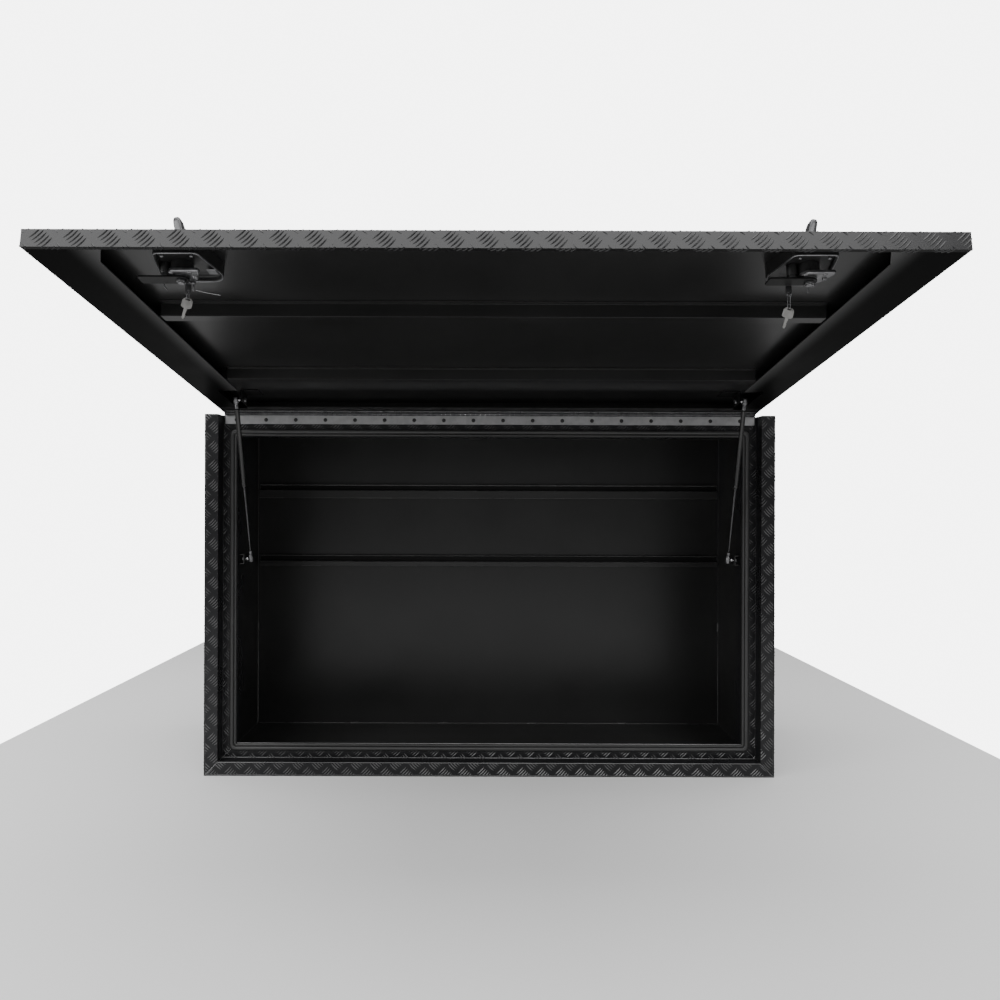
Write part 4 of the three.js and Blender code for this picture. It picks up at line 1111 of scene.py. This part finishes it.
def add_lock(tag):
    """The lock barrel, with a keyway outside and a bright tail inside, in a dark sleeve."""
    place = DOOR.copy()
    place.translation = joint_place(f"lock_turn_{tag}")
    profile = mm((3, -12), (5.4, -11.6), (6, -10.8), (6, 18.3), (5.5, 19.2), (4.8, 19.4), (4.6, 18.8),
                 (2, 18.8))
    solid = Solid().lathe(profile, place, 28)
    solid.box((-0.0007, -0.0034, 0.018), (0.0007, 0.0034, 0.0192), place, 0.0002)
    add_piece(f"lock_cylinder_{tag}", solid, ZINC, f"lock_barrel_{tag}",
              replaces=f"lock_barrel_{tag}")
    profile = mm((6.4, 12.1), (7.8, 12.1), (7.8, -4), (7, -5.4), (6.4, -5.4))
    sleeve = Solid().lathe(profile, place, 28, closed=True)
    add_piece(f"lock_sleeve_{tag}", sleeve, BLACK_STEEL, "door")


def key_bow():
    """The key's head, with a slot for the loop."""
    bow = mm((-8.5, 14), (-5, 16), (5, 16), (8.5, 14), (8.3, 3.5), (4.8, 0), (-4.8, 0), (-8.3, 3.5))
    bow = rounded([(x, KEY_TOP - drop) for x, drop in bow], 0.0018, 3)
    slot = rounded(mm((-3.6, -1.2), (3.6, -1.2), (3.6, 1.2), (-3.6, 1.2)), 0.001, 7)
    slot = matched(slot, bow)
    face = grown(bow, -0.0003)
    rim = KEY_HALF - 0.0003
    rings = ((face, -KEY_HALF), (bow, -rim), (bow, rim), (face, KEY_HALF),
             (slot, KEY_HALF), (slot, -KEY_HALF))
    return Solid().loft([[(a, d, b) for a, b in ring] for ring, d in rings], closed=True)


def add_key(tag):
    """A flat key with a cut blade, tilted on a long loop of wire."""
    place = Matrix.Translation(joint_place(f"key_swing_{tag}"))
    foot = KEY_WIRE_R - KEY_LOOP[tag]
    half = KEY_LOOP_HALF
    outline = rounded([(-half, 0.0), (-half, foot), (half, foot), (half, 0.0)], 0.0022, 5)
    loop = Solid().tube([(0, y, z) for y, z in outline], KEY_WIRE_R, 10, closed=True)
    add_piece(f"key_wire_{tag}", loop, RIM, f"key_{tag}", place, 80, f"key_loop_{tag}")
    cuts = mm((-2.7, 15.5), (-2.7, 31.2), (-1, 33), (0.8, 33), (1.2, 31.2), (2.4, 29.8), (1.4, 28.3),
              (2.6, 26.6), (1.2, 24.8), (2.4, 23), (1.8, 21.3), (2.7, 19.3), (2.7, 15.5))
    blade = [(x, KEY_TOP - drop) for x, drop in cuts]
    solid = key_bow().prism(blade, -0.0009, 0.0009, facing((1, 0, 0), (0, -1, 0), (0, 0, 0)), 0.0002)
    hang = place @ Matrix.Translation((0, 0, foot)) @ Matrix.Rotation(KEY_TILT, 4, "Y")
    add_piece(f"key_blank_{tag}", solid, NICKEL, f"key_{tag}", hang, 30, f"key_{tag}")


def add_latches():
    """Both latches with their keys, and what only the left one carries."""
    for tag, side in SIDES:
        add_pan(tag, side)
        add_housing(tag)
        add_handle(tag, side)
        add_cam(tag)
        add_lock(tag)
        add_key(tag)
    add_left_fittings()


# ---- Stage ----
def add_camera():
    """A level camera in front of the box, a little left of its middle, with a small shift."""
    data = bpy.data.cameras.new("camera")
    data.lens = CAMERA_LENS
    data.sensor_width = CAMERA_SENSOR
    data.shift_x, data.shift_y = CAMERA_SHIFT
    camera = link("camera", data)
    camera.location = (CAMERA_ACROSS, FRONT - CAMERA_AHEAD, CAMERA_UP)
    camera.rotation_euler = (radians(90), CAMERA_ROLL, 0)
    bpy.context.scene.camera = camera


def add_light(name, size, power, place, target):
    """A rectangular light at a place, aimed at a target."""
    data = bpy.data.lights.new(name, "AREA")
    data.shape = "RECTANGLE"
    data.size, data.size_y = size
    data.energy = power
    light = link(name, data)
    light.location = place
    light.rotation_euler = (Vector(target) - Vector(place)).to_track_quat("-Z", "Y").to_euler()


def add_world():
    """A pale backdrop for the camera, much dimmer as a source of light and reflections."""
    world = bpy.data.worlds.new("studio")
    world.use_nodes = True
    tree = world.node_tree
    dim = tree.nodes["Background"]
    pale = tree.nodes.new("ShaderNodeBackground")
    for node, strength in ((dim, WORLD_LIGHT), (pale, WORLD_SEEN)):
        node.inputs["Color"].default_value = opaque(1.0)
        node.inputs["Strength"].default_value = strength
    rays = tree.nodes.new("ShaderNodeLightPath")
    mix = tree.nodes.new("ShaderNodeMixShader")
    tree.links.new(rays.outputs["Is Camera Ray"], mix.inputs["Fac"])
    tree.links.new(dim.outputs["Background"], mix.inputs[1])
    tree.links.new(pale.outputs["Background"], mix.inputs[2])
    tree.links.new(mix.outputs["Shader"], tree.nodes["World Output"].inputs["Surface"])
    bpy.context.scene.world = world


def add_stage():
    """A pale floor of limited size, so that the low surfaces reflect a darker room beyond it."""
    mesh = bpy.data.meshes.new("floor")
    outline = rectangle(-STAGE_HALF, STAGE_HALF, -STAGE_NEAR, STAGE_FAR)
    mesh.from_pydata([(x, y, 0) for x, y in outline], [], [(0, 1, 2, 3)])
    material, _, shader = new_material("pale_floor")
    shader.inputs["Base Color"].default_value = opaque(STAGE_GREY)
    shader.inputs["Roughness"].default_value = STAGE_ROUGHNESS
    mesh.materials.append(material)
    floor = link("floor", mesh)
    floor.location.z = STAGE_LOW
    for light in LIGHTS:
        add_light(*light)


coat_sheets()
coat_fittings()
line_door()
line_rails()
add_frame_tread()
add_shell_tread()
add_door_tread()
add_welds()
add_seal()
add_hinge()
add_struts()
add_latches()
add_camera()
add_world()
add_stage()
